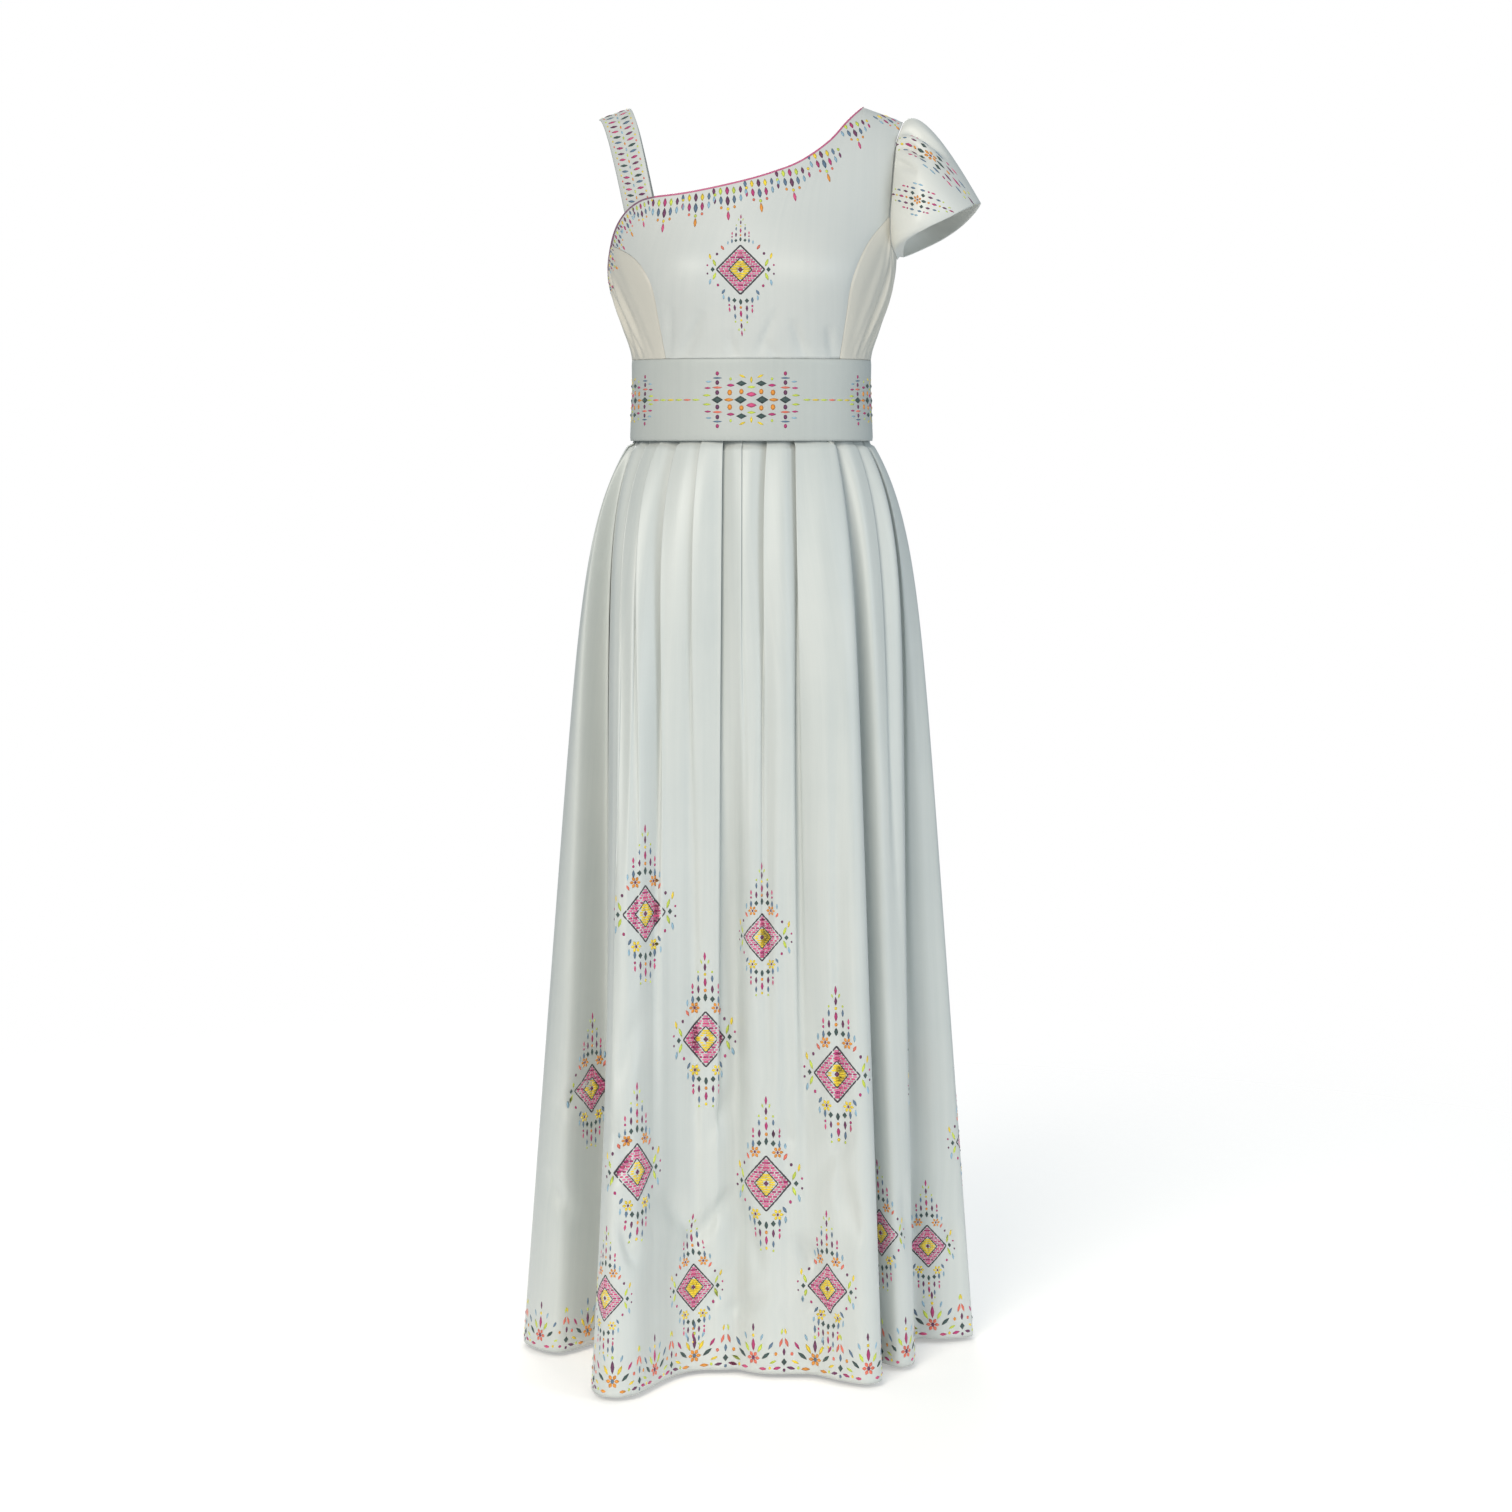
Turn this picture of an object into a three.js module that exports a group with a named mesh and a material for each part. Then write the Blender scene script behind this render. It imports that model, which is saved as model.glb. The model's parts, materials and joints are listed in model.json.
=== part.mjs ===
// Asymmetric floor-length dress: a strap over one shoulder, a gathered cap sleeve on the other,
// a fitted bodice in six panels, a wide waistband and a pleated skirt in five gores.
// Millimetres, +Z up. The front faces -Y and the strap is on the -X side. Heights are worked out
// from the hem up, and the dress is then lowered, so that the origin is midway between the
// shoulders, level with the top of them, where a wearer holds the dress up.
import * as THREE from "three";

// ---- Driving sizes ---------------------------------------------------------------------------
const SHOULDER_TOP = 1413; // the highest point of the shoulders, above the hem
const BAND_LOW = 1039; // lower edge of the waistband
const BAND_HIGH = 1130; // upper edge of the waistband

const CLOTH = 1.5; // wall of the bodice, sleeve and strap
const SKIRT_CLOTH = 1.8; // wall of the skirt, which is the heavier cloth
const BAND_WALL = 2; // the waistband is interlined
const BAND_PROUD = 0.5; // how far it stands out from the bodice
const SEAM_GAP = 0.3; // free space between two pieces that are sewn together
const LAYER_GAP = 1.2; // free space between two pieces that lie one on the other

// The body form that the bodice is cut to: half-width, and depth before and behind the shoulders.
const FORM = [
  { height: 1039, half: 137.5, front: 97, back: 86 },
  { height: 1130, half: 135.5, front: 98, back: 85 },
  { height: 1164, half: 145, front: 107, back: 89 },
  { height: 1198, half: 156.5, front: 113, back: 94 },
  { height: 1231, half: 163.5, front: 114, back: 99 },
  { height: 1266, half: 165, front: 109, back: 102 },
  { height: 1300, half: 167, front: 101, back: 101 },
  { height: 1350, half: 171, front: 93, back: 97 },
  { height: 1413, half: 176, front: 88, back: 92 },
];
const BUST = { across: 80, height: 1224, forward: 21, spreadX: 46, spreadZ: 44 };
const ROUND_FROM = 1273; // above this the form rounds over into the shoulders
const NECK_POINT = 126; // where neck and shoulder meet, from the middle
const SHOULDER_SLOPE = 0.36; // fall of the shoulder for each millimetre outwards

// Edges and seams of the bodice, as x and height. Front and back are cut to the same edges.
const STRAP_ARMHOLE = [ // from the underarm, round the top corner, to the strap
  { x: -161, height: 1214 },
  { x: -161.4, height: 1222 },
  { x: -161, height: 1237 },
  { x: -157.5, height: 1257 },
  { x: -153, height: 1272 },
  { x: -146, height: 1285 },
  { x: -136, height: 1296 },
  { x: -122, height: 1304.5 },
  { x: -107, height: 1308 },
];
const NECKLINE = [ // from the strap to the neck point of the other shoulder
  { x: -107, height: 1308 },
  { x: -70, height: 1312 },
  { x: -8, height: 1325 },
  { x: 28, height: 1336 },
  { x: 54, height: 1347 },
  { x: 87, height: 1371 },
  { x: 108, height: 1395 },
  { x: NECK_POINT, height: SHOULDER_TOP },
];
const SLEEVE_ARMHOLE = [ // from the end of the shoulder down to the underarm
  { x: 171, height: 1396.8 },
  { x: 163, height: 1374 },
  { x: 160, height: 1351 },
  { x: 157, height: 1316 },
  { x: 155, height: 1289 },
  { x: 157, height: 1257 },
  { x: 164.5, height: 1243 },
];
const STRAP_PRINCESS = [ // the shaping seam from the waistband to the strap side's armhole
  { x: -96, height: BAND_HIGH },
  { x: -103, height: 1170 },
  { x: -112, height: 1212 },
  { x: -130, height: 1240 },
  { x: -157.5, height: 1257 },
];
const SLEEVE_PRINCESS = [ // and the one to the sleeve side's armhole
  { x: 99, height: BAND_HIGH },
  { x: 105, height: 1172 },
  { x: 112, height: 1216 },
  { x: 130, height: 1258 },
  { x: 155, height: 1289 },
];
const PRINCESS_TOP_STRAP = 3 / 8; // where they end, as a share of the armhole's rows
const PRINCESS_TOP_SLEEVE = 4 / 6;

// The strap: its middle line at the shoulder, how much further in it starts at the bodice, how far
// round the shoulder that is, and its lift off the shoulder.
const STRAP = { width: 35, top: -154.5, lean: 34, bend: 1.3, tucked: 0.09, lift: 6 };

// The sleeve's open cuff, from its top forward round the arm, in twelve equal turns.
const CUFF = [
  { x: 259, y: 0, height: 1306 },
  { x: 252, y: -26, height: 1303 },
  { x: 238, y: -47, height: 1296 },
  { x: 219, y: -60, height: 1286 },
  { x: 196, y: -66, height: 1275 },
  { x: 175, y: -52, height: 1263 },
  { x: 172, y: 0, height: 1248 },
  { x: 177, y: 42, height: 1249 },
  { x: 199, y: 62, height: 1259 },
  { x: 221, y: 62, height: 1270 },
  { x: 240, y: 50, height: 1283 },
  { x: 254, y: 26, height: 1297 },
];
const SLEEVE_PUFF = { top: 66, lean: -0.32 }; // how far the cap is pushed out, and inwards
const SLEEVE_GATHERS = { depth: 9, count: 11, fade: 3 }; // ripples where the cap is sewn in

// Lines down the front of the skirt, from the strap side's seam round to the sleeve side's.
// waist is the angle from the middle of the front and tuck the depth of the pleat there. hip and
// hem say where the line hangs to: x towards the sleeve side and y towards the back. bow is how
// far it swings towards the sleeve side half-way down.
const FRONT_FOLDS = [
  { waist: -90, tuck: 0, hipX: -180, hipY: 0, hemX: -263, hemY: 0 },
  { waist: -83, tuck: 0, hipX: -183, hipY: -24, hemX: -256, hemY: -42 },
  { waist: -79, tuck: 0, hipX: -184, hipY: -37, hemX: -222, hemY: -70 },
  { waist: -76, tuck: 5, hipX: -171, hipY: -48, hemX: -168, hemY: -80 }, // seam under a fold
  { waist: -74, tuck: 4, hipX: -160, hipY: -56, hemX: -162, hemY: -130 },
  { waist: -71, tuck: 0, hipX: -163, hipY: -70, hemX: -177, hemY: -198, bow: 12 },
  { waist: -66, tuck: 0, hipX: -159, hipY: -80, hemX: -168, hemY: -240, bow: 9 },
  { waist: -59, tuck: 4, hipX: -149, hipY: -86, hemX: -150, hemY: -251 },
  { waist: -50, tuck: 0, hipX: -136, hipY: -104, hemX: -128, hemY: -240 },
  { waist: -37, tuck: 5, hipX: -106, hipY: -109, hemX: -106, hemY: -200 },
  { waist: -29, tuck: 0, hipX: -84, hipY: -120, hemX: -80, hemY: -158 },
  { waist: -21, tuck: 0, hipX: -60, hipY: -124, hemX: -56, hemY: -143 },
  { waist: -16, tuck: 5, hipX: -38, hipY: -120, hemX: -34, hemY: -143 },
  { waist: -4, tuck: 0, hipX: -10, hipY: -127, hemX: -6, hemY: -150 },
  { waist: 9, tuck: 4, hipX: 14, hipY: -123, hemX: 20, hemY: -159 },
  { waist: 17, tuck: 0, hipX: 37, hipY: -126, hemX: 44, hemY: -159 },
  { waist: 24, tuck: 4, hipX: 55, hipY: -120, hemX: 68, hemY: -160 },
  { waist: 32, tuck: 0, hipX: 82, hipY: -117, hemX: 98, hemY: -184 },
  { waist: 38, tuck: 0, hipX: 101, hipY: -108, hemX: 126, hemY: -199 },
  { waist: 40.5, tuck: 0, hipX: 110, hipY: -100, hemX: 144, hemY: -187 },
  { waist: 42.5, tuck: 6, hipX: 107, hipY: -86, hemX: 141, hemY: -128 }, // seam under a fold
  { waist: 45, tuck: 4, hipX: 113, hipY: -82, hemX: 148, hemY: -112 },
  { waist: 51, tuck: 0, hipX: 130, hipY: -80, hemX: 164, hemY: -131 },
  { waist: 59, tuck: 4, hipX: 146, hipY: -64, hemX: 177, hemY: -126 },
  { waist: 70, tuck: 0, hipX: 168, hipY: -52, hemX: 186, hemY: -104 },
  { waist: 77, tuck: 5, hipX: 167, hipY: -36, hemX: 180, hemY: -42 },
  { waist: 80.5, tuck: 2, hipX: 173, hipY: -26, hemX: 190, hemY: -12 },
  { waist: 85, tuck: 0, hipX: 179, hipY: -13, hemX: 222, hemY: -13 },
  { waist: 90, tuck: 0, hipX: 180, hipY: 0, hemX: 258, hemY: 3 },
];
const SEAM_ROWS = { strapFront: 3, sleeveFront: 20 };

// The back hangs in even pleats: lean turns each fold's edge over the hollow beside it.
const BACK_PLEATS = { count: 8, tuck: 5, lean: 0.34 };
const BACK_HIP = { half: 171, depth: 112, swing: 5 };
const BACK_HEM = { half: 232, depth: 186, swing: 14 };
const BACK_SEAMS = { sleeve: 1, middle: 4, strap: 6 }; // the pleats whose hollows hide a seam

const HIP_SPREAD = 70; // how far below the band the skirt takes to spread over the hips

// Shallow creases that run only part of the way down, between the heights from and to.
const CREASES = [
  { fold: 12.4, width: 0.4, depth: 9, from: 180, to: 800 },
  { fold: 7.4, width: 0.5, depth: 5, from: 480, to: 960 },
  { fold: 9.2, width: 0.6, depth: 5, from: 420, to: 980 },
  { fold: 14.2, width: 0.6, depth: 3.5, from: 500, to: 1000 },
];

// Grid steps
const SIDE_COLUMNS = 6;
const SIDE_HOLD = 6; // how sharply a panel's grid turns from its own run to that of a side seam
const BAND_COLUMNS = 26;
const FOLD_COLUMNS = { front: 3, back: 2 }; // for each row of the fold tables
const SKIRT_HEIGHTS = [0, 55, 140, 250, 370, 490, 610, 720, 815, 890, 945, 983, 1010, 1028];

// Small steps over which a surface's directions are measured: in a share, in degrees and
// millimetres round the form, and in millimetres down the skirt.
const STEP = 1e-3;
const FORM_STEP = 0.01;
const SKIRT_STEP = 0.05;

const COLOURS = {
  bodice: "#d0d1c6",
  bodiceSide: "#c5c4b6",
  band: "#c9ccc3",
  skirt: "#cfd0c8",
  sleeve: "#d2d4cf",
};

// ---- Helpers ---------------------------------------------------------------------------------
const { degToRad, radToDeg, lerp, clamp } = THREE.MathUtils;
const vec = (x, y, z) => new THREE.Vector3(x, y, z);
const steps = (n, from = 0, to = 1) => Array.from({ length: n + 1 }, (_, i) => lerp(from, to, i / n));

// A smooth curve through the rows of a table, read at a share (0 to 1) of its rows.
function pathThrough(rows, point, closed = false) {
  return new THREE.CatmullRomCurve3(rows.map(point), closed, "centripetal");
}

// Reads one column of a table at a height, on a smooth curve through its rows.
function column(rows, key, height) {
  const last = rows.length - 1;
  const at = clamp(height, rows[0].height, rows[last].height);
  const k = clamp(rows.findIndex((row) => row.height > at) - 1, 0, last - 1);
  const from = height >= rows[last].height ? last - 1 : k;
  const [low, high] = [rows[from], rows[from + 1]];
  const [before, after] = [rows[Math.max(from - 1, 0)], rows[Math.min(from + 2, last)]];
  const step = high.height - low.height;
  const slope = (a, b) => (b[key] - a[key]) / (b.height - a.height) * step;
  const t = (at - low.height) / step;
  const ease = t * t * (3 - 2 * t);
  return lerp(low[key], high[key], ease) + t * (1 - t) * (1 - t) * slope(before, high)
    - t * t * (1 - t) * slope(low, after);
}

// Directions on a surface at (u, v): across to the right, up, and the outward normal.
function directions(surface, u, v, du, dv) {
  const across = surface(u + du, v).sub(surface(u - du, v)).normalize();
  const up = surface(u, v + dv).sub(surface(u, v - dv)).normalize();
  return { across, up, normal: across.clone().cross(up).normalize() };
}

// A closed cloth wall over the grid us x vs. The surface is the outer face, with u to the right
// and v up as seen from outside. Where the wall ends in a seam, it stops half a gap short of it.
// A tube wraps round in u instead, and look can give the directions of a surface of its own.
function clothWall(surface, us, vs, { wall, du = STEP, dv = STEP, tube = false, look }) {
  const cols = us.length;
  const rows = vs.length;
  const points = [[], []];
  for (const [j, v] of vs.entries())
    for (const [i, u] of us.entries()) {
      const { across, up, normal } = look ? look(u, v) : directions(surface, u, v, du, dv);
      const outer = surface(u, v);
      const intoRight = up.clone().cross(normal);
      const intoTop = normal.clone().cross(across);
      if (!tube && i === 0) outer.addScaledVector(intoRight, SEAM_GAP / 2);
      if (!tube && i === cols - 1) outer.addScaledVector(intoRight, -SEAM_GAP / 2);
      if (j === 0) outer.addScaledVector(intoTop, SEAM_GAP / 2);
      if (j === rows - 1) outer.addScaledVector(intoTop, -SEAM_GAP / 2);
      points[0].push(...outer.toArray());
      points[1].push(...outer.addScaledVector(normal, -wall).toArray());
    }
  const at = (side, i, j) => side * cols * rows + j * cols + (i % cols);
  const faces = [];
  const quad = (a, b, c, d) => faces.push(a, b, c, a, c, d);
  const spans = tube ? cols : cols - 1;
  for (let i = 0; i < spans; i++) {
    for (let j = 0; j < rows - 1; j++) {
      quad(at(0, i, j), at(0, i + 1, j), at(0, i + 1, j + 1), at(0, i, j + 1));
      quad(at(1, i, j), at(1, i, j + 1), at(1, i + 1, j + 1), at(1, i + 1, j));
    }
    quad(at(0, i, 0), at(1, i, 0), at(1, i + 1, 0), at(0, i + 1, 0));
    quad(at(0, i + 1, rows - 1), at(1, i + 1, rows - 1), at(1, i, rows - 1), at(0, i, rows - 1));
  }
  for (let j = 0; j < rows - 1 && !tube; j++) {
    quad(at(0, 0, j + 1), at(1, 0, j + 1), at(1, 0, j), at(0, 0, j));
    quad(at(0, spans, j), at(1, spans, j), at(1, spans, j + 1), at(0, spans, j + 1));
  }
  return new THREE.BufferGeometry()
    .setAttribute("position", new THREE.Float32BufferAttribute(points.flat(), 3))
    .setIndex(faces);
}

// ---- Body form -------------------------------------------------------------------------------
const FRONT = { sign: -1, depth: "front" };
const BACK = { sign: 1, depth: "back" };
const ROUND = SHOULDER_TOP - ROUND_FROM;
const ridge = (x) => SHOULDER_TOP - SHOULDER_SLOPE * Math.max(0, Math.abs(x) - NECK_POINT);

// Height without the shoulder's slope, for a point that is over radians round the shoulder.
const levelHeight = (girth, over) => Math.min(girth, ROUND_FROM) + ROUND * Math.sin(over);

// The form's skin on one side. deg is the angle round it from the middle of that side towards +X.
// girth is the height, measured round the shoulder's curve above ROUND_FROM. out lifts the point.
function form(side, deg, girth, out = 0) {
  const over = Math.max(0, girth - ROUND_FROM) / ROUND;
  const level = levelHeight(girth, Math.min(over, Math.PI / 2));
  const x = (column(FORM, "half", level) + out) * Math.sin(degToRad(deg));
  let depth = (column(FORM, side.depth, level) + out) * Math.cos(degToRad(deg));
  if (side === FRONT)
    for (const apex of [-BUST.across, BUST.across])
      depth += BUST.forward * Math.exp(-(((x - apex) / BUST.spreadX) ** 2)
        - ((level - BUST.height) / BUST.spreadZ) ** 2);
  const low = Math.min(girth, ROUND_FROM);
  const height = low + (ridge(x) - ROUND_FROM + out) * Math.sin(over);
  return vec(x, side.sign * depth * Math.cos(over), height);
}

// The angle and girth of the form's point at x and height.
function onForm({ x, z: height }) {
  const rise = clamp((height - ROUND_FROM) / (ridge(x) - ROUND_FROM), 0, 1);
  const over = Math.asin(rise);
  const half = column(FORM, "half", levelHeight(height, over));
  const deg = radToDeg(Math.asin(clamp(x / half, -1, 1)));
  return { deg, girth: Math.min(height, ROUND_FROM) + ROUND * over };
}

// ---- Bodice ----------------------------------------------------------------------------------
const onPlan = ({ x, height }) => vec(x, 0, height);
const [strapArmhole, neckline, sleeveArmhole, strapPrincess, sleevePrincess] =
  [STRAP_ARMHOLE, NECKLINE, SLEEVE_ARMHOLE, STRAP_PRINCESS, SLEEVE_PRINCESS].map((rows) => {
    const path = pathThrough(rows, onPlan);
    return (s) => onForm(path.getPoint(clamp(s, 0, 1)));
  });
const shoulder = (s) => ({
  deg: lerp(neckline(1).deg, sleeveArmhole(0).deg, s),
  girth: ROUND_FROM + ROUND * Math.PI / 2,
});
const between = (a, b) => (s) => ({ deg: lerp(a.deg, b.deg, s), girth: lerp(a.girth, b.girth, s) });
const sideSeam = (deg, height) => (t) => ({ deg, girth: lerp(BAND_HIGH, height, t) });

// An edge made of several seams one after another. to is the share of the edge where each ends.
function joined(parts) {
  const from = (k) => (k ? parts[k - 1].to : 0);
  return {
    at: (s) => {
      const k = Math.max(0, parts.findIndex(({ to }) => s <= to));
      return parts[k].edge((s - from(k)) / (parts[k].to - from(k)));
    },
    steps: parts.flatMap(({ to, count }, k) => steps(count, from(k), to).slice(k ? 1 : 0)),
  };
}

const centreTop = joined([
  { to: 0.1, count: 4, edge: (s) => strapArmhole(lerp(PRINCESS_TOP_STRAP, 1, s)) },
  { to: 0.875, count: 11, edge: neckline },
  { to: 1, count: 3, edge: shoulder },
]);
const centreRight = joined([
  { to: 0.5, count: 7, edge: sleevePrincess },
  { to: 1, count: 7, edge: (s) => sleeveArmhole(lerp(PRINCESS_TOP_SLEEVE, 0, s)) },
]);

// Each panel's four edges: bottom and top from left to right, left and right from the band up.
const PANELS = [
  {
    name: "centre",
    columns: centreTop.steps,
    rows: centreRight.steps,
    bottom: between(strapPrincess(0), sleevePrincess(0)),
    top: centreTop.at,
    left: strapPrincess,
    right: centreRight.at,
  },
  {
    name: "side_under_strap",
    columns: steps(SIDE_COLUMNS),
    rows: centreRight.steps,
    bottom: between({ deg: -90, girth: BAND_HIGH }, strapPrincess(0)),
    top: (s) => strapArmhole(s * PRINCESS_TOP_STRAP),
    left: sideSeam(-90, STRAP_ARMHOLE[0].height),
    right: strapPrincess,
  },
  {
    name: "side_under_sleeve",
    columns: steps(SIDE_COLUMNS),
    rows: steps(7),
    bottom: between(sleevePrincess(0), { deg: 90, girth: BAND_HIGH }),
    top: (s) => sleeveArmhole(lerp(PRINCESS_TOP_SLEEVE, 1, s)),
    left: sleevePrincess,
    right: sideSeam(90, SLEEVE_ARMHOLE.at(-1).height),
  },
];

// Spreads a panel between its edges, in angle and girth: straight up from the bottom to the top,
// and bent near each side to follow its seam.
function spread({ bottom, top, left, right }, s, t) {
  const mix = (key) => {
    const straight = (at) => lerp(bottom(at)[key], top(at)[key], t);
    return straight(s) + (left(t)[key] - straight(0)) * (1 - s) ** SIDE_HOLD
      + (right(t)[key] - straight(1)) * s ** SIDE_HOLD;
  };
  return { deg: mix("deg"), girth: mix("girth") };
}

function bodicePanel(side, panel) {
  const turn = (s) => (side === FRONT ? s : 1 - s);
  const place = (s, t) => spread(panel, turn(s), t);
  const surface = (s, t) => {
    const { deg, girth } = place(s, t);
    return form(side, deg, girth);
  };
  // The normal is the form's own, so that it is the same on both sides of each seam.
  const look = (s, t) => {
    const { deg, girth } = place(s, t);
    const skin = (rightwards, g) => form(side, -side.sign * rightwards, g);
    const { normal } = directions(skin, -side.sign * deg, girth, FORM_STEP, FORM_STEP);
    const [s0, s1] = [Math.max(s - STEP, 0), Math.min(s + STEP, 1)];
    const [t0, t1] = [Math.max(t - STEP, 0), Math.min(t + STEP, 1)];
    const across = surface(s1, t).sub(surface(s0, t)).normalize();
    const up = surface(s, t1).sub(surface(s, t0)).normalize();
    return { across, up, normal };
  };
  const columns = side === FRONT ? panel.columns : panel.columns.map((s) => 1 - s).reverse();
  return clothWall(surface, columns, panel.rows, { wall: CLOTH, look });
}

// ---- Strap, sleeve and waistband -------------------------------------------------------------
// The strap lies just under the bodice's skin, so that it comes out from behind the top edges.
function strap() {
  const surface = (u, over) => {
    const side = over < Math.PI / 2 ? FRONT : BACK;
    const rise = Math.min(over, Math.PI - over);
    const out = STRAP.lift * Math.sin(rise) ** 4 - (CLOTH + LAYER_GAP);
    const lean = STRAP.lean * Math.max(0, 1 - rise / (Math.PI / 2)) ** STRAP.bend;
    const x = STRAP.top + lean + u * STRAP.width / 2;
    const half = column(FORM, "half", levelHeight(ROUND_FROM, rise)) + out;
    return form(side, radToDeg(Math.asin(x / half)), ROUND_FROM + ROUND * rise, out);
  };
  const overs = steps(24, STRAP.tucked, Math.PI - STRAP.tucked);
  return clothWall(surface, steps(4, -1, 1), overs, { wall: CLOTH });
}

// The sleeve runs from the armhole (v 0) to the cuff (v 1). u goes once round, from the shoulder
// forward, so that the outside is on the right of it.
function sleeve() {
  const cuff = pathThrough(CUFF, ({ x, y, height }) => vec(x, y, height), true);
  const surface = (u, v) => {
    const turn = THREE.MathUtils.euclideanModulo(u, 1);
    const side = turn < 0.5 ? FRONT : BACK;
    const { deg, girth } = sleeveArmhole(1 - Math.abs(1 - 2 * turn));
    const from = form(side, deg, girth).add(vec(SEAM_GAP * 2, 0, 0));
    const to = cuff.getPoint(turn);
    const angle = 2 * Math.PI * turn;
    const cap = (1 + Math.cos(angle)) / 2;
    const puff = vec(SLEEVE_PUFF.lean * cap, -Math.sin(angle), Math.cos(angle) * cap)
      .multiplyScalar(SLEEVE_PUFF.top * cap ** 0.6);
    const middle = from.clone().add(to).multiplyScalar(0.5).add(puff);
    const point = from.multiplyScalar((1 - v) ** 2)
      .addScaledVector(middle, 2 * v * (1 - v)).addScaledVector(to, v * v);
    const { depth, count, fade } = SLEEVE_GATHERS;
    const ripple = depth * v * Math.max(0, 1 - v) ** fade * cap ** 2 * Math.cos(angle * count);
    return point.add(vec(0, -Math.sin(angle) * ripple, Math.cos(angle) * ripple));
  };
  const us = steps(40).slice(0, -1);
  return clothWall(surface, us, [0, 0.1, 0.22, 0.38, 0.56, 0.78, 1], { wall: CLOTH, tube: true });
}

function waistband(side) {
  const surface = (u, height) => form(side, side.sign * -90 * u, height, BAND_PROUD);
  return clothWall(surface, steps(BAND_COLUMNS, -1, 1), steps(4, BAND_LOW, BAND_HIGH),
    { wall: BAND_WALL });
}

// ---- Skirt -----------------------------------------------------------------------------------
// The back's rows: for each pleat the crest, the edge of its fold and the hollow under it.
function backFolds() {
  const rows = [];
  const turn = 180 / BACK_PLEATS.count;
  const place = ({ half, depth, swing }, deg, lift) => {
    const [sin, cos] = [Math.sin(degToRad(deg)), Math.cos(degToRad(deg))];
    const reach = 1 + (swing * lift) / depth;
    return { x: half * reach * sin, y: -depth * reach * cos };
  };
  for (let k = 0; k < BACK_PLEATS.count; k++)
    for (const { at, lift, tuck, lean } of [
      { at: 0, lift: 0.6, tuck: 0, lean: 0 },
      { at: 0.38, lift: 1, tuck: 0, lean: BACK_PLEATS.lean / 2 },
      { at: 0.5, lift: -0.8, tuck: 1, lean: 0 },
    ]) {
      if (k === 0 && at === 0) continue;
      const waist = 90 + (k + at) * turn;
      const hip = place(BACK_HIP, waist, lift);
      const hem = place(BACK_HEM, waist + lean * turn, lift);
      const ends = { hipX: hip.x, hipY: hip.y, hemX: hem.x, hemY: hem.y };
      rows.push({ waist, tuck: tuck * BACK_PLEATS.tuck, ...ends });
    }
  return rows;
}

const FOLDS = [...FRONT_FOLDS, ...backFolds()];
const backSeamRow = (pleat) => FRONT_FOLDS.length + pleat * 3 + 1;

const waistLine = pathThrough(FOLDS, ({ waist, tuck }) => {
  const side = Math.abs(waist) <= 90 ? FRONT : BACK;
  const [sin, cos] = [Math.sin(degToRad(waist)), Math.cos(degToRad(waist))];
  const depth = FORM[0][side.depth] - tuck;
  return vec((FORM[0].half - tuck) * sin, -depth * cos, 0);
}, true);
const hipLine = pathThrough(FOLDS, ({ hipX, hipY }) => vec(hipX, hipY, 0), true);
const hemLine = pathThrough(FOLDS, ({ hemX, hemY }) => vec(hemX, hemY, 0), true);
const bowLine = pathThrough(FOLDS, ({ bow = 0 }, k) => vec(bow, k, 0), true);

function creaseDepth(row, height) {
  let sum = 0;
  for (const { fold, width, depth, from, to } of CREASES) {
    const along = clamp((height - from) / (to - from), 0, 1);
    sum += depth * Math.sin(Math.PI * along) ** 2 * Math.exp(-(((row - fold) / width) ** 2));
  }
  return sum;
}

// The skirt's skin. row counts through the fold tables and height runs from the hem up.
function skirt(row, height) {
  const share = THREE.MathUtils.euclideanModulo(row / FOLDS.length, 1);
  const drop = BAND_LOW - height;
  const gone = 1 - Math.exp(-Math.max(drop, 0) / HIP_SPREAD);
  const fall = drop / BAND_LOW;
  const hung = hipLine.getPoint(share).lerp(hemLine.getPoint(share), fall);
  hung.x += 4 * fall * (1 - fall) * bowLine.getPoint(share).x;
  const point = waistLine.getPoint(share).lerp(hung, gone);
  const inwards = creaseDepth(row, height) / point.length();
  return point.multiplyScalar(1 - inwards).setZ(height);
}

function gore(from, to) {
  const last = to < from ? to + FOLDS.length : to;
  const rows = [];
  for (let row = from; row < last; row++) {
    const columns = row < FRONT_FOLDS.length - 1 || row >= FOLDS.length
      ? FOLD_COLUMNS.front : FOLD_COLUMNS.back;
    rows.push(...steps(columns, row, row + 1).slice(0, -1));
  }
  rows.push(last);
  return clothWall(skirt, rows, [...SKIRT_HEIGHTS, BAND_LOW], { wall: SKIRT_CLOTH, dv: SKIRT_STEP });
}

// ---- The dress -------------------------------------------------------------------------------
const dress = new THREE.Group();
dress.position.z = -SHOULDER_TOP;

function sew(name, geometry, colour, roughness) {
  geometry.computeVertexNormals();
  const cloth = new THREE.MeshStandardMaterial({ color: colour, roughness, metalness: 0 });
  const mesh = new THREE.Mesh(geometry, cloth);
  mesh.name = name;
  dress.add(mesh);
}

for (const [side, word] of [[FRONT, "front"], [BACK, "back"]]) {
  for (const panel of PANELS) {
    const colour = panel.name === "centre" ? COLOURS.bodice : COLOURS.bodiceSide;
    sew(`bodice_${word}_${panel.name}`, bodicePanel(side, panel), colour, 0.45);
  }
  sew(`waistband_${word}`, waistband(side), COLOURS.band, 0.55);
}
sew("shoulder_strap", strap(), COLOURS.bodice, 0.5);
sew("cap_sleeve", sleeve(), COLOURS.sleeve, 0.5);

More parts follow.
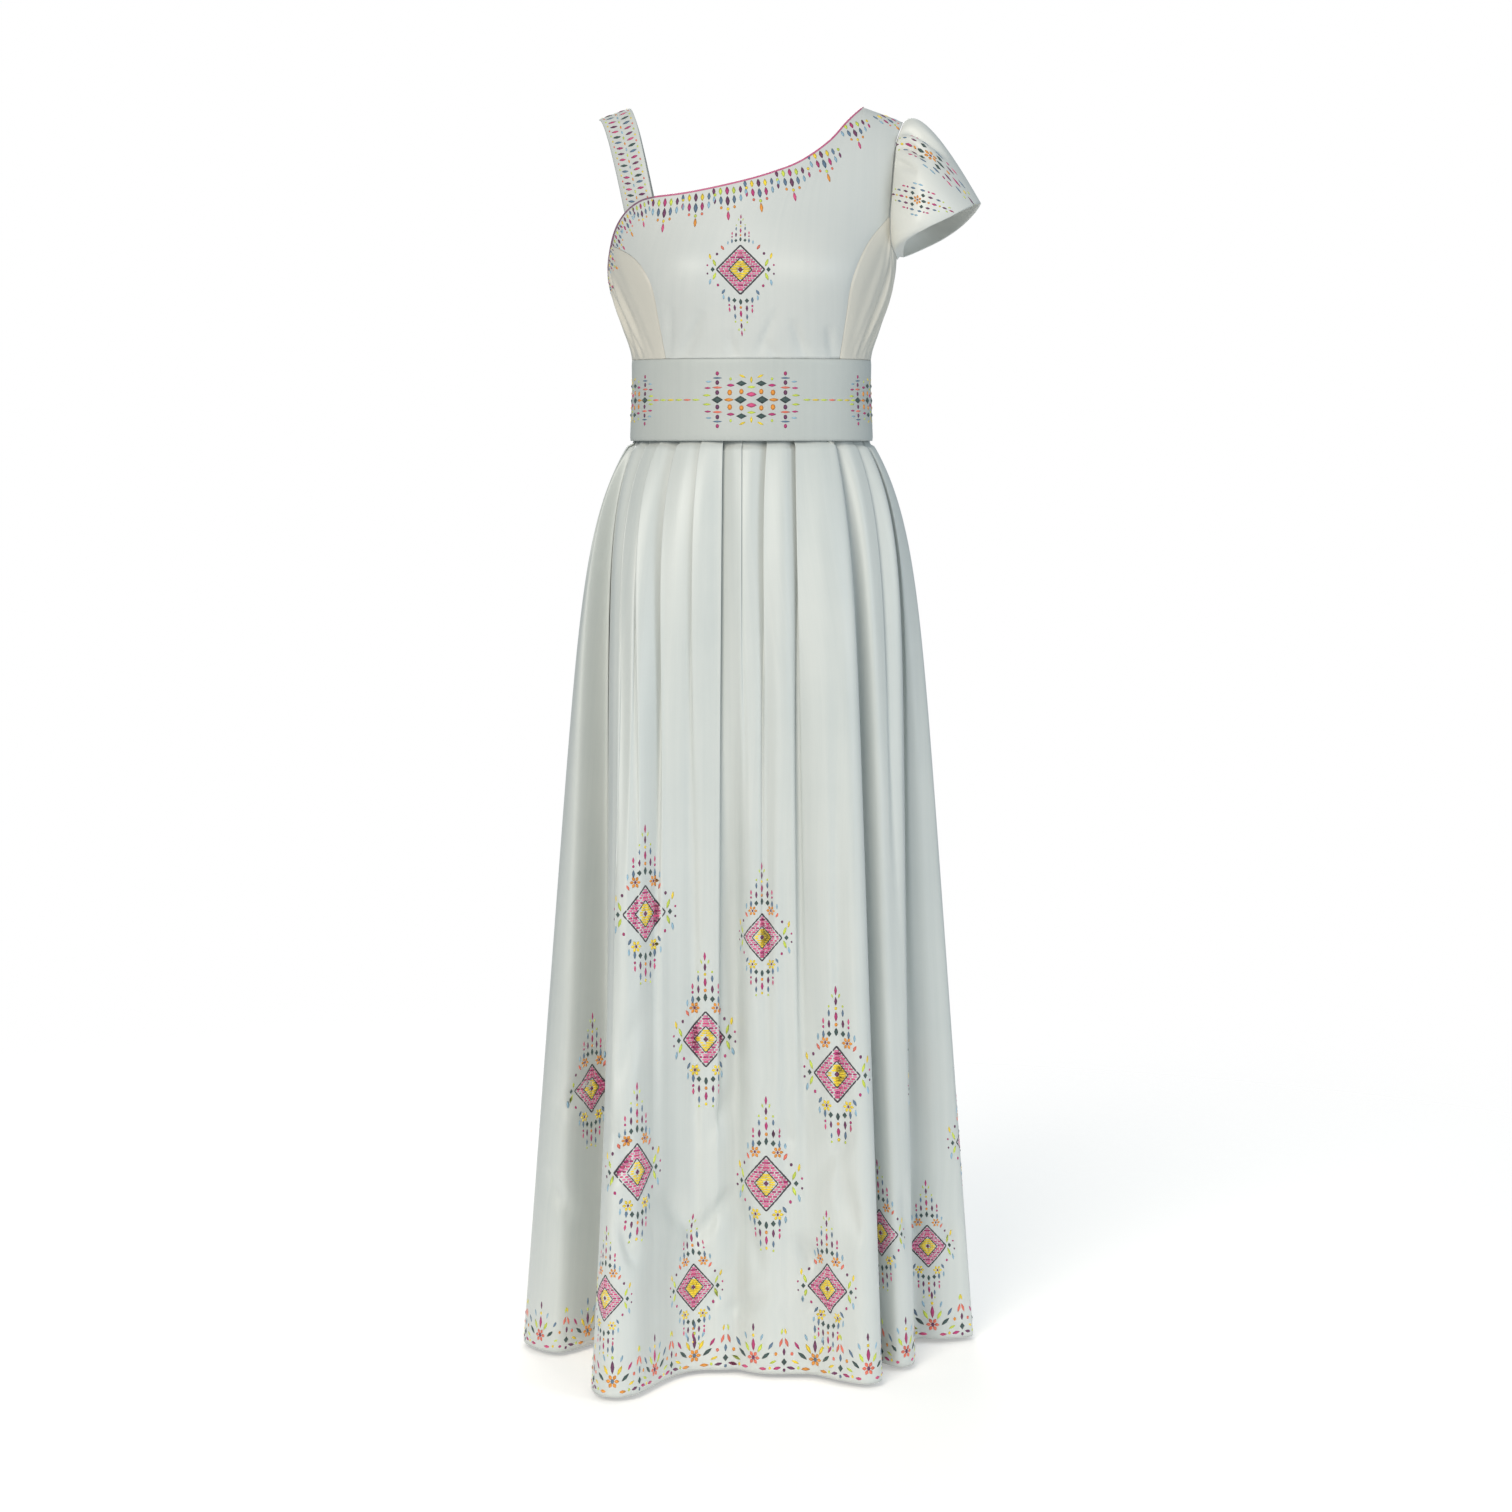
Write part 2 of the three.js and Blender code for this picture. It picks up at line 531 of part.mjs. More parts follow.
const [sleeveBack, middleBack, strapBack] = Object.values(BACK_SEAMS).map(backSeamRow);
const { strapFront, sleeveFront } = SEAM_ROWS;
sew("skirt_front", gore(strapFront, sleeveFront), COLOURS.skirt, 0.42);
sew("skirt_side_under_sleeve", gore(sleeveFront, sleeveBack), COLOURS.skirt, 0.42);
sew("skirt_back_sleeve_half", gore(sleeveBack, middleBack), COLOURS.skirt, 0.42);
sew("skirt_back_strap_half", gore(middleBack, strapBack), COLOURS.skirt, 0.42);
sew("skirt_side_under_strap", gore(strapBack, strapFront), COLOURS.skirt, 0.42);

export default dress;
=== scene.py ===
# %% Load the frame
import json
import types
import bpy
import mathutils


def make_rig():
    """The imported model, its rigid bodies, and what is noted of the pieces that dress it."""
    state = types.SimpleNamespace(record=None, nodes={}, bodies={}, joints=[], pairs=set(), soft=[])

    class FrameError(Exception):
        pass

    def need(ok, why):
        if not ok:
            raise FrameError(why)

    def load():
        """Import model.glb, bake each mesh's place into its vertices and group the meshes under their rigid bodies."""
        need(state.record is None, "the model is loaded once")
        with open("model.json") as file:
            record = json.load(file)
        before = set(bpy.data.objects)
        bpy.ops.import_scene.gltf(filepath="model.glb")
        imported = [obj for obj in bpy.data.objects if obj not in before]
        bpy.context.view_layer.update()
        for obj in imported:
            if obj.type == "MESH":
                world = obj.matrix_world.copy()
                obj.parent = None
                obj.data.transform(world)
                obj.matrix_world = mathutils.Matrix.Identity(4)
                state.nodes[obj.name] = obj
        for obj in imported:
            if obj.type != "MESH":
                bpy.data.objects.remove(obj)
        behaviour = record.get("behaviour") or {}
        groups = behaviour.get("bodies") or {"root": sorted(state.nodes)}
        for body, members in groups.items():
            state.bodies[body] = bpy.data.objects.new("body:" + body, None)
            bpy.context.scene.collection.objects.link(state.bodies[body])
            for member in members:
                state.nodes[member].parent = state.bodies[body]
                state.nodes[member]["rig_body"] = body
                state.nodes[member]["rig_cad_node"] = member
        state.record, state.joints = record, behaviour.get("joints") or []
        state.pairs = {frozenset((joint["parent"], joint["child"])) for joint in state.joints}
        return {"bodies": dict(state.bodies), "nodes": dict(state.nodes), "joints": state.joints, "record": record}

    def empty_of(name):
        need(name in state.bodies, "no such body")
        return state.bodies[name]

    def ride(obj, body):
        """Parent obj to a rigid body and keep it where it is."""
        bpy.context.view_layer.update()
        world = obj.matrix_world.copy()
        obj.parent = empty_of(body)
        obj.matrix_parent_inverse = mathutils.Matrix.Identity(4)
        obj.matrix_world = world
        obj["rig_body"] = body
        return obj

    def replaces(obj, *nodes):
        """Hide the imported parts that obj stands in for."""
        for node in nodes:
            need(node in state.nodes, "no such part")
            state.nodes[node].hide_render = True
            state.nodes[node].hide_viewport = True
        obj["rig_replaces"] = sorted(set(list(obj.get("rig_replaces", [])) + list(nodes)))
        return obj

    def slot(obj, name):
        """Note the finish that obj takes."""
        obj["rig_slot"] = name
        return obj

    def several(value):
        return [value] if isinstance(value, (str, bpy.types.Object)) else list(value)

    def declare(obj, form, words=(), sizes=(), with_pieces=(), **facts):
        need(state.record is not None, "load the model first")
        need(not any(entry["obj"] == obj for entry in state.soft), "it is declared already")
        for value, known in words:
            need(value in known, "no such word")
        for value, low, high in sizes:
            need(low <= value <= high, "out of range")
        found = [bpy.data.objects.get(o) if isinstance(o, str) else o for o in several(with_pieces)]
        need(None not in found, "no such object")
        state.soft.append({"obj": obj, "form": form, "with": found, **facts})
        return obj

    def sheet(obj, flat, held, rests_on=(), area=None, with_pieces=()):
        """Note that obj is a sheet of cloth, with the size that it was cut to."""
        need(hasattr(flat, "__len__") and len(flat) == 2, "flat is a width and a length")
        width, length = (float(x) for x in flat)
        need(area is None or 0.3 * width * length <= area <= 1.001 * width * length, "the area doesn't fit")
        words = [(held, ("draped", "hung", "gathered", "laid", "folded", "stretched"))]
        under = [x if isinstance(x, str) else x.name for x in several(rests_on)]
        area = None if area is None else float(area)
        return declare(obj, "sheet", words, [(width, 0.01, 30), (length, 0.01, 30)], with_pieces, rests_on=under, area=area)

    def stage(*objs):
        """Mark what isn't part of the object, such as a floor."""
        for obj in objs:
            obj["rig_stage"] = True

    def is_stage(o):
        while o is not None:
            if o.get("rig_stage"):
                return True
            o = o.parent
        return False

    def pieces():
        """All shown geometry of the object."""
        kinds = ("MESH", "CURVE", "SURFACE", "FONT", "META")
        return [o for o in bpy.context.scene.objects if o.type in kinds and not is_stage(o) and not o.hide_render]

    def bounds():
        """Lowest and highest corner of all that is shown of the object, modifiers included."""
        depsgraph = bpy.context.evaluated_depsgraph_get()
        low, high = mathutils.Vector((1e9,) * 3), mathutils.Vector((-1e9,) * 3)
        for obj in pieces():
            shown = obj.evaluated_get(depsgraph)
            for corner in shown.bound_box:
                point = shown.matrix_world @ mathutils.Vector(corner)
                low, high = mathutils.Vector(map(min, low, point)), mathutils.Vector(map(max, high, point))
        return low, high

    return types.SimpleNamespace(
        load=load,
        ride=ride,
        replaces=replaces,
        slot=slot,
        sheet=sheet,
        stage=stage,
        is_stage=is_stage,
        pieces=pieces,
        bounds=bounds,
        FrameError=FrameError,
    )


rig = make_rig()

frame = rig.load()

import itertools
import json
import math
import random

import bmesh
import bpy
import numpy as np
from mathutils import Vector
from mathutils.bvhtree import BVHTree

cad_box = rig.bounds()
print("solids:", sorted(frame["nodes"]))

# %% [markdown]
# # An asymmetric satin dress
# A floor-length dress: a strap over one shoulder, a gathered cap sleeve on the other, a fitted
# bodice, a wide waistband and a pleated skirt. Bright silk is stitched along the neckline, on
# the strap, the sleeve and the waistband, and over the lower half of the skirt.
#
# Each cut piece of cloth could be simulated from its flat pattern. A fitted dress on an unseen
# form is easier to steer when each piece is a fine grid whose points are placed by a function:
# the function knows the form, the seams and the pleats, and small folds are added on top. Sizes
# are in millimetres from the hem up, as a dressmaker measures, and become metres at the end.

# %% Sizes of the dress
SHOULDER_TOP = 1413.0
BAND_LOW, BAND_HIGH = 1039.0, 1130.0
NECK_POINT, SHOULDER_SLOPE = 126.0, 0.36
ROUND_FROM = 1273.0
ROUND = SHOULDER_TOP - ROUND_FROM
MM = 0.001


def table(text):
    """A small table: a line of names, then a line of numbers or words for each row."""
    names, *lines = [line.split() for line in text.strip().splitlines()]
    return {name: column if column[0].isalpha() else np.array(column, float)
            for name, column in zip(names, zip(*lines))}


FORM = table("""
height half front back
1039 137.5 97 86
1130 135.5 98 85
1164 145 107 89
1198 156.5 113 94
1231 163.5 114 99
1266 165 109 102
1300 167 101 101
1350 171 93 97
1413 176 88 92
""")
BUST = {"across": 80, "height": 1224, "forward": 19, "spread_x": 58, "spread_z": 44, "turns": 0.4}
print("form:", len(FORM["height"]), "rows")

# %% [markdown]
# ## Curves through a few points
# A pattern cutter draws a neckline or a hem through a few measured points with a flexible
# curve. A centripetal Catmull-Rom curve does the same: it passes through each point and doesn't
# swing past it, also where the points crowd together at a pleat.


# %% Curves
CENTRIPETAL, CLOSEST = 0.5, 1e-4  # the power of each step that spaces the curve, and its least value


def mix(a, b, t):
    return a + (b - a) * t


def along(points, share, closed=False):
    """Points at shares (0 to 1) of the rows of a smooth curve."""
    points = np.asarray(points, float)
    count = len(points)
    share = np.asarray(share, float)
    if closed:
        at = np.mod(share, 1) * count
        first = np.floor(at).astype(int) % count
        at = np.mod(at, count)
        a, b, c, d = [points[(first + k) % count] for k in (-1, 0, 1, 2)]
    else:
        at = np.clip(share, 0, 1) * (count - 1)
        first = np.minimum(np.floor(at).astype(int), count - 2)
        ends = np.vstack([2 * points[0] - points[1], points, 2 * points[-1] - points[-2]])
        a, b, c, d = [ends[first + k] for k in range(4)]
    t = (at - first)[..., None]
    before, here, after = [
        np.maximum(np.linalg.norm(q - p, axis=-1, keepdims=True) ** CENTRIPETAL, CLOSEST)
        for p, q in ((a, b), (b, c), (c, d))]
    leave = ((b - a) / before - (c - a) / (before + here)) * here + (c - b)
    arrive = (c - b) + ((d - c) / after - (d - b) / (here + after)) * here
    return (b + t * leave + t ** 2 * (3 * (c - b) - 2 * leave - arrive)
            + t ** 3 * (2 * (b - c) + leave + arrive))


def read(rows, name, height):
    """Reads one column of a table at a height, on a smooth curve through its rows."""
    heights, values = rows["height"], rows[name]
    last = len(heights) - 1
    at = np.clip(height, heights[0], heights[-1])
    low = np.clip(np.searchsorted(heights, at, side="right") - 1, 0, last - 1)
    before, after = np.maximum(low - 1, 0), np.minimum(low + 2, last)
    step = heights[low + 1] - heights[low]
    rise = (values[low + 1] - values[before]) / (heights[low + 1] - heights[before]) * step
    onward = (values[after] - values[low]) / (heights[after] - heights[low]) * step
    t = (at - heights[low]) / step
    return (mix(values[low], values[low + 1], t * t * (3 - 2 * t))
            + t * (1 - t) ** 2 * rise - t * t * (1 - t) * onward)


def smooth(low, high, x):
    """0 below low, 1 above high and an even rise between."""
    t = np.clip((x - low) / (high - low), 0, 1)
    return t * t * (3 - 2 * t)


print("half-width at the waist:", round(float(read(FORM, "half", 1080.0)), 1), "mm")

# %% [markdown]
# ## The form that the bodice is cut to
# A bodice is cut to a dress form: round at the waist, fuller at the bust, and rounding over at
# the shoulders. Here the form is only a function. An angle and a girth, which is the height
# measured round the shoulder's curve, give a point of its skin.

# %% The form
FRONT, BACK = ("front", -1), ("back", 1)


def ridge(x):
    return SHOULDER_TOP - SHOULDER_SLOPE * np.maximum(0, np.abs(x) - NECK_POINT)


def level_height(girth, over):
    return np.minimum(girth, ROUND_FROM) + ROUND * np.sin(over)


def form(side, deg, girth, out=0.0):
    """A point of the form's skin, on one side, lifted by out."""
    name, sign = side
    over = np.maximum(0, girth - ROUND_FROM) / ROUND
    level = level_height(girth, np.minimum(over, math.pi / 2))
    x = (read(FORM, "half", level) + out) * np.sin(np.radians(deg))
    facing = np.cos(np.radians(deg))
    depth = (read(FORM, name, level) + out) * facing
    if side is FRONT:
        for apex in (-BUST["across"], BUST["across"]):
            depth = depth + BUST["forward"] * smooth(0, BUST["turns"], facing) * np.exp(
                -((x - apex) / BUST["spread_x"]) ** 2
                - ((level - BUST["height"]) / BUST["spread_z"]) ** 2)
    height = np.minimum(girth, ROUND_FROM) + (ridge(x) - ROUND_FROM + out) * np.sin(over)
    return np.stack([x, sign * depth * np.cos(over), height], -1)


def on_form(x, height):
    """The angle and girth of the form's point at x and height."""
    over = np.arcsin(np.clip((height - ROUND_FROM) / (ridge(x) - ROUND_FROM), 0, 1))
    half = read(FORM, "half", level_height(height, over))
    deg = np.degrees(np.arcsin(np.clip(x / half, -1, 1)))
    return np.stack([deg, np.minimum(height, ROUND_FROM) + ROUND * over], -1)


print("neck point:", form(FRONT, *on_form(NECK_POINT, SHOULDER_TOP)).round(1))

# %% [markdown]
# ## Edges and seams of the bodice
# The strap side's armhole turns a tight corner into a neckline that climbs to the other
# shoulder. Two shaping seams run from the waistband to the armholes. Each is a short table of
# points and the two sides of a seam read the same table, so the panels always meet.

# %% Edges and seams
STRAP_ARMHOLE = table("""
x height
-161 1214
-161.4 1222
-161 1237
-157.5 1257
-153 1272
-146 1285
-136 1296
-122 1304.5
-107 1308
""")
NECKLINE = table("""
x height
-107 1308
-70 1312
-8 1325
28 1336
54 1347
87 1371
108 1395
126 1413
""")
SLEEVE_ARMHOLE = table("""
x height
171 1396.8
163 1374
160 1351
157 1316
155 1289
157 1257
164.5 1243
""")
STRAP_PRINCESS = table("""
x height
-96 1130
-103 1170
-112 1212
-130 1240
-157.5 1257
""")
SLEEVE_PRINCESS = table("""
x height
99 1130
105 1172
112 1216
130 1258
155 1289
""")


def edge(rows):
    plan = np.stack([rows["x"], rows["height"]], -1)

    def at(share):
        x, height = np.moveaxis(along(plan, share), -1, 0)
        return on_form(x, height)
    return at


strap_armhole, neckline, sleeve_armhole, strap_princess, sleeve_princess = [
    edge(rows) for rows in (STRAP_ARMHOLE, NECKLINE, SLEEVE_ARMHOLE, STRAP_PRINCESS, SLEEVE_PRINCESS)]


def straight(a, b):
    a, b = np.asarray(a, float), np.asarray(b, float)
    return lambda share: a + (b - a) * np.asarray(share, float)[..., None]


def joined(*parts):
    """An edge of several seams, each given as (where it ends, seam)."""
    def at(share):
        share = np.asarray(share, float)
        found, start = None, 0.0
        for end, seam in parts:
            here = seam(np.clip((share - start) / (end - start), 0, 1))
            found = here if found is None else np.where((share > start)[..., None], here, found)
            start = end
        return found
    return at


STRAP_PRINCESS_TOP, SLEEVE_PRINCESS_TOP = 3 / 8, 4 / 6  # the shares of the armholes where they end
shoulder_girth = ROUND_FROM + ROUND * math.pi / 2
shoulder = straight([neckline(1.0)[0], shoulder_girth], [sleeve_armhole(0.0)[0], shoulder_girth])
print("the neckline runs from", neckline(0.0).round(1), "to", neckline(1.0).round(1))

# %% [markdown]
# ## One piece of cloth
# A cut piece of cloth is a grid with its threads across and up. Two things are kept with it:
# the outward direction at each point, to lay folds and embroidery on, and how far each point is
# across and up the flat cloth, because prints and stitches are placed on cloth while it is flat.


# %% Cloth
SEAM_GAP = 0.3
NO_LENGTH = 1e-9  # keeps a direction from being divided by nothing


def directions(points, closed=False):
    """Unit vectors across, up and outward at each point of a grid."""
    if closed:
        ring = np.concatenate([points[:, -2:-1], points, points[:, 1:2]], axis=1)
        across = (ring[:, 2:] - ring[:, :-2]) / 2
    else:
        across = np.gradient(points, axis=1)
    up = np.gradient(points, axis=0)
    across /= np.maximum(np.linalg.norm(across, axis=-1, keepdims=True), NO_LENGTH)
    normal = np.cross(across, up)
    normal /= np.maximum(np.linalg.norm(normal, axis=-1, keepdims=True), NO_LENGTH)
    return across, np.cross(normal, across), normal


def run(points, axis):
    """How far each point is along its thread."""
    steps = np.linalg.norm(np.diff(points, axis=axis), axis=-1)
    return np.concatenate([np.zeros_like(np.take(steps, [0], axis)), np.cumsum(steps, axis)], axis)


class Cloth:
    """A grid of points in millimetres, with its flat places x (across) and y (up)."""

    def __init__(self, points, closed=False, y=None):
        self.points, self.closed = points, closed
        across = run(points, 1)
        middle = (points.shape[1] - 1) / 2
        low = min(int(middle), points.shape[1] - 2)
        self.x = across - mix(across[:, low:low + 1], across[:, low + 1:low + 2], middle - low)
        self.y = run(points, 0).mean(axis=1)[:, None] + 0 * self.x if y is None else y + 0 * self.x

    def lift(self, amount):
        """Moves the points outwards."""
        self.points = self.points + directions(self.points, self.closed)[2] * amount[..., None]

    def trim(self, sides="lrbt"):
        """Stops the cloth just short of its seams."""
        across, up, _ = directions(self.points, self.closed)
        for side, where, way in (("l", np.s_[:, 0], across), ("r", np.s_[:, -1], -across),
                                 ("b", np.s_[0], up), ("t", np.s_[-1], -up)):
            if side in sides:
                self.points[where] += way[where] * SEAM_GAP / 2

    def land(self, x, y, lift, thread):
        """Where places x beside an upright thread of the flat cloth and y up it are in the air."""
        normals = directions(self.points, self.closed)[2]
        rows, columns = self.x.shape
        heights = self.y[:, 0]
        low = min(int(thread), columns - 2)
        x = x + np.interp(y, heights, mix(self.x[:, low], self.x[:, low + 1], thread - low))
        at = np.interp(y, heights, np.arange(rows))
        low = np.minimum(at.astype(int), rows - 2)
        found = []
        for k in (0, 1):
            row = low + k
            across = np.array([np.interp(px, self.x[r], np.arange(columns)) for px, r in zip(x, row)])
            left = np.minimum(across.astype(int), columns - 2)
            part = (across - left)[:, None]
            found.append([mix(g[row, left], g[row, left + 1], part) for g in (self.points, normals)])
        share = (at - low)[:, None]
        place, normal = [mix(a, b, share) for a, b in zip(*found)]
        return place + normal * lift[:, None]


swatch = Cloth(np.dstack([*np.meshgrid([0.0, 10, 20], [0.0, 15]), np.zeros((2, 3))]))
print("a swatch's threads are at", swatch.x[0], "mm across")

# %% [markdown]
# ## Sewing a piece
# A pattern piece could be drawn as an outline and filled, but folds need points all over it. So
# the mesh starts from a bmesh grid, its points move to their places, and a Solidify modifier
# gives the cloth its thickness on the inside. The flat places also become the UV map, in metres.


# %% Sewing
MERGE_WITHIN = 1e-5
WALLS = {"bodice": 1.2, "band": 1.8, "strap": 1.4, "sleeve": 1.2, "skirt": 1.3}
cloths = {}


def to_metres(points):
    return (np.asarray(points, float) - [0, 0, SHOULDER_TOP]) * MM


def add(name, data):
    """Puts an object into the scene."""
    made = bpy.data.objects.new(name, data)
    bpy.context.collection.objects.link(made)
    return made


def mesh_object(name, mesh, material):
    data = bpy.data.meshes.new(name)
    mesh.to_mesh(data)
    mesh.free()
    data.materials.append(material)
    return add(name, data)


def finish_mesh(name, mesh, material, slot=None):
    """Turns a bmesh into a piece of the dress."""
    piece = mesh_object(name, mesh, material)
    if slot:
        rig.slot(piece, slot)
    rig.ride(piece, "root")
    return piece


def sew(node, cloth, material, wall, slot):
    """Makes the mesh of a piece of cloth, which stands for the solid of that name."""
    rows, columns = cloth.x.shape
    grid = bmesh.new()
    bmesh.ops.create_grid(grid, x_segments=columns - 1, y_segments=rows - 1, size=1)
    for vert, place in zip(grid.verts, to_metres(cloth.points).reshape(-1, 3)):
        vert.co = place
    flat = np.stack([cloth.x, cloth.y], -1).reshape(-1, 2) * MM
    cut = grid.loops.layers.uv.new("cut")
    for face in grid.faces:
        face.smooth = True
        for loop in face.loops:
            loop[cut].uv = flat[loop.vert.index]
    if cloth.closed:
        bmesh.ops.remove_doubles(grid, verts=grid.verts, dist=MERGE_WITHIN)
    piece = finish_mesh(node + "_cloth", grid, material, slot)
    thicken = piece.modifiers.new("thickness", "SOLIDIFY")
    thicken.thickness, thicken.offset, thicken.use_rim = wall * MM, -1, True
    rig.replaces(piece, node)
    cloths[node] = cloth


print("a metre is", 1 / MM, "of the pattern's millimetres")

# %% [markdown]
# ## Writing a material as sums
# Satin, thread and piping are node materials. A small class wraps a node's socket, so that a
# sum written on it adds Math nodes, and one method makes every other node. Only colour,
# roughness and bump change over the cloth; what is the same all over is set on the shader.


# %% Shader maths
class Value:
    """A socket that sums can be written on."""

    def __init__(self, recipe, socket):
        self.recipe, self.socket = recipe, socket

    def maths(self, operation, a, b):
        return self.recipe.node("ShaderNodeMath", {"operation": operation}, {0: a, 1: b})

    def __add__(self, other):
        return self.maths("ADD", self, other)

    def __mul__(self, other):
        return self.maths("MULTIPLY", self, other)

    def __sub__(self, other):
        return self.maths("SUBTRACT", self, other)

    def __rsub__(self, other):
        return self.maths("SUBTRACT", other, self)

    __radd__, __rmul__ = __add__, __mul__


class Recipe:
    """One material and its nodes."""

    def __init__(self, name):
        self.start(bpy.data.materials.new(name))

    def start(self, material):
        self.material = material
        material.use_nodes = True
        material.node_tree.nodes.clear()

    def link(self, value, socket):
        self.material.node_tree.links.new(value.socket, socket)

    def node(self, kind, settings=(), inputs=(), output=0):
        made = self.material.node_tree.nodes.new(kind)
        for name, value in dict(settings).items():
            setattr(made, name, value)
        for name, value in dict(inputs).items():
            if isinstance(value, Value):
                self.link(value, made.inputs[name])
            else:
                made.inputs[name].default_value = value
        return Value(self, made.outputs[output])

    def blend(self, factor, a, b):
        """A colour between two colours."""
        a, b = [c if isinstance(c, Value) else (*c, 1) for c in (a, b)]
        return self.node("ShaderNodeMix", {"data_type": "RGBA"}, {0: factor, 6: a, 7: b}, 2)

    def bump(self, strength, distance, height):
        return self.node("ShaderNodeBump", (),
                         {"Strength": strength, "Distance": distance, "Height": height})

    def finish(self, **sockets):
        inputs = {name.replace("_", " "): value for name, value in sockets.items()}
        shader = self.node("ShaderNodeBsdfPrincipled", (), inputs)
        output = self.material.node_tree.nodes.new("ShaderNodeOutputMaterial")
        self.surface = output.inputs["Surface"]
        self.link(shader, self.surface)
        return self.material


def srgb(red, green, blue):
    """A colour as it is picked on a screen, made linear."""
    return tuple(((c / 255 + 0.055) / 1.055) ** 2.4 for c in (red, green, blue))


print("pale satin is", [round(c, 2) for c in srgb(214, 216, 210)], "in linear light")

# %% [markdown]
# ## Satin
# Satin floats its warp threads over the weft, so it shines in soft streaks along the thread and
# shows hardly any weave from a step away. Close up there is a fine rib across the threads, and
# a thicker thread here and there. The flat cloth's own UV map runs these along each piece.
#
# Wave textures make the rib, and a noise texture stretched along the threads makes the slubs,
# which also change the roughness a little. A low-contrast cloud keeps the colour from being
# flat, as on washed satin. Each noise is listed as its stretch across and up the cloth, its
# scale and its detail, and each rib as its direction, its scale and how uneven it is.


# %% Satin material
NOISES = {"slub": (900, 14, 1, 2), "streak": (160, 3, 1, 2), "cloud": (1, 1, 9, 3)}
RIBS = {"warp": ("X", 380, 1.5), "weft": ("Y", 260, 0.8)}
RIB = {"strength": 0.12, "height": 0.0004}


def satin(name, shade, deep, roughness, sheen):
    recipe = Recipe(name)
    flat = recipe.node("ShaderNodeUVMap", {"uv_map": "cut"})
    noises, ribs = [], []
    for across, up, scale, detail in NOISES.values():
        place = recipe.node("ShaderNodeMapping", (), {"Vector": flat, "Scale": (across, up, 1)})
        noises.append(recipe.node("ShaderNodeTexNoise", {"noise_dimensions": "2D"},
                                  {"Vector": place, "Scale": scale, "Detail": detail}))
    for way, scale, uneven in RIBS.values():
        ribs.append(recipe.node("ShaderNodeTexWave", {"bands_direction": way, "wave_profile": "SIN"},
                                {"Vector": flat, "Scale": scale, "Distortion": uneven, "Detail": 1}))
    slub, streak, cloud = noises
    warp, weft = ribs
    colour = recipe.blend(cloud * 0.5 + streak * 0.3 + slub * 0.2, deep, shade)
    height = warp * 0.5 + weft * 0.25 + slub * 0.6 + streak * 0.5
    return recipe.finish(
        Base_Color=colour, Roughness=roughness + (slub * 0.14 + streak * 0.08 - 0.1),
        Normal=recipe.bump(RIB["strength"], RIB["height"], height),
        Specular_IOR_Level=0.55, Sheen_Weight=sheen, Sheen_Roughness=0.35)


SATIN = {
    "bodice": satin("satin_bodice", srgb(214, 215, 211), srgb(197, 201, 199), 0.5, 0.1),
    # The side panels take a warmer, beiger copy of the bodice satin: painted warm light, standing in for the light
    # that falls on the side-facing panels.
    "side": satin("satin_bodice_side", srgb(214, 210, 199), srgb(204, 200, 190), 0.44, 0.06),
    "band": satin("satin_waistband", srgb(197, 200, 196), srgb(179, 184, 181), 0.5, 0.05),
    "skirt": satin("satin_skirt", srgb(215, 217, 213), srgb(194, 200, 198), 0.4, 0.1),
    "sleeve": satin("satin_sleeve", srgb(228, 227, 221), srgb(214, 216, 211), 0.42, 0.08),
}
print("satins:", *SATIN)

# %% [markdown]
# ## The bodice panels
# Each panel is spread between its four edges: straight up from the waistband to the top edge,
# and bent near its sides to follow the seams. The middle panel is smooth, with a few slack
# creases under the bust. The side panels are eased into the armholes, so soft folds fan down
# from there to the waistband.

# %% Ways to shape a panel
SIDE_HOLD = 6  # the power by which a side's bend fades inwards
TOP_HOLD = 3
BUST_CREASES = table("""
x1 y1 x2 y2 width depth
30 1186 4 1128 6 3.0
44 1174 62 1126 6 3.4
-52 1182 -80 1126 7 3.4
-26 1162 -18 1128 6 2.1
84 1168 93 1126 6 2.8
-88 1190 -92 1128 5 2.3
12 1150 34 1126 5 1.6
""")


def skin(side, place, out=0.0):
    return form(side, place[..., 0], place[..., 1], out)


def spread(bottom, top, left, right, across, up):
    """Places on the form between a panel's four edges. Only its upper rows bend with its top."""
    start, end = np.zeros_like(across), np.ones_like(across)
    corners = top(start), top(end)

    def upright(share):
        level = mix(*corners, share[..., None])
        bend = (top(share) - level) * up[..., None] ** TOP_HOLD
        return mix(bottom(share), level, up[..., None]) + bend

    near_left, near_right = [(near ** SIDE_HOLD)[..., None] for near in (1 - across, across)]
    return (upright(across) + (left(up) - upright(start)) * near_left
            + (right(up) - upright(end)) * near_right)


def creases(points, rows):
    """How deep the creases of a table press a cloth. Their ends are as seen from the front."""
    x, height = points[..., 0], points[..., 2]
    deep = np.zeros_like(x)
    for x1, y1, x2, y2, width, depth in zip(*rows.values()):
        run_x, run_y = x2 - x1, y2 - y1
        length = math.hypot(run_x, run_y)
        part = ((x - x1) * run_x + (height - y1) * run_y) / length ** 2
        off = ((x - x1) * run_y - (height - y1) * run_x) / length
        deep += depth * np.sin(np.pi * np.clip(part, 0, 1)) * np.exp(-(off / width) ** 2)
    return deep


def seam_roll(across, up, sides, reach=0.035, deep=0.9):
    """A slight dip beside each seam, where the cloth turns in to the stitching."""
    edges = {"l": across, "r": 1 - across, "b": up, "t": 1 - up}
    return -deep * sum(np.exp(-(edges[side] / reach) ** 2) for side in sides)


print("creases under the bust:", len(BUST_CREASES["x1"]))

# %% [markdown]
# ## Cutting the bodice
# Three panels make the front, and the same three, mirrored on the form, make the back. A panel
# is its four edges, the shares of its width at which threads run up it, and how deep it is
# eased. The middle panel's threads are closer at its sides, where its top turns into corners.

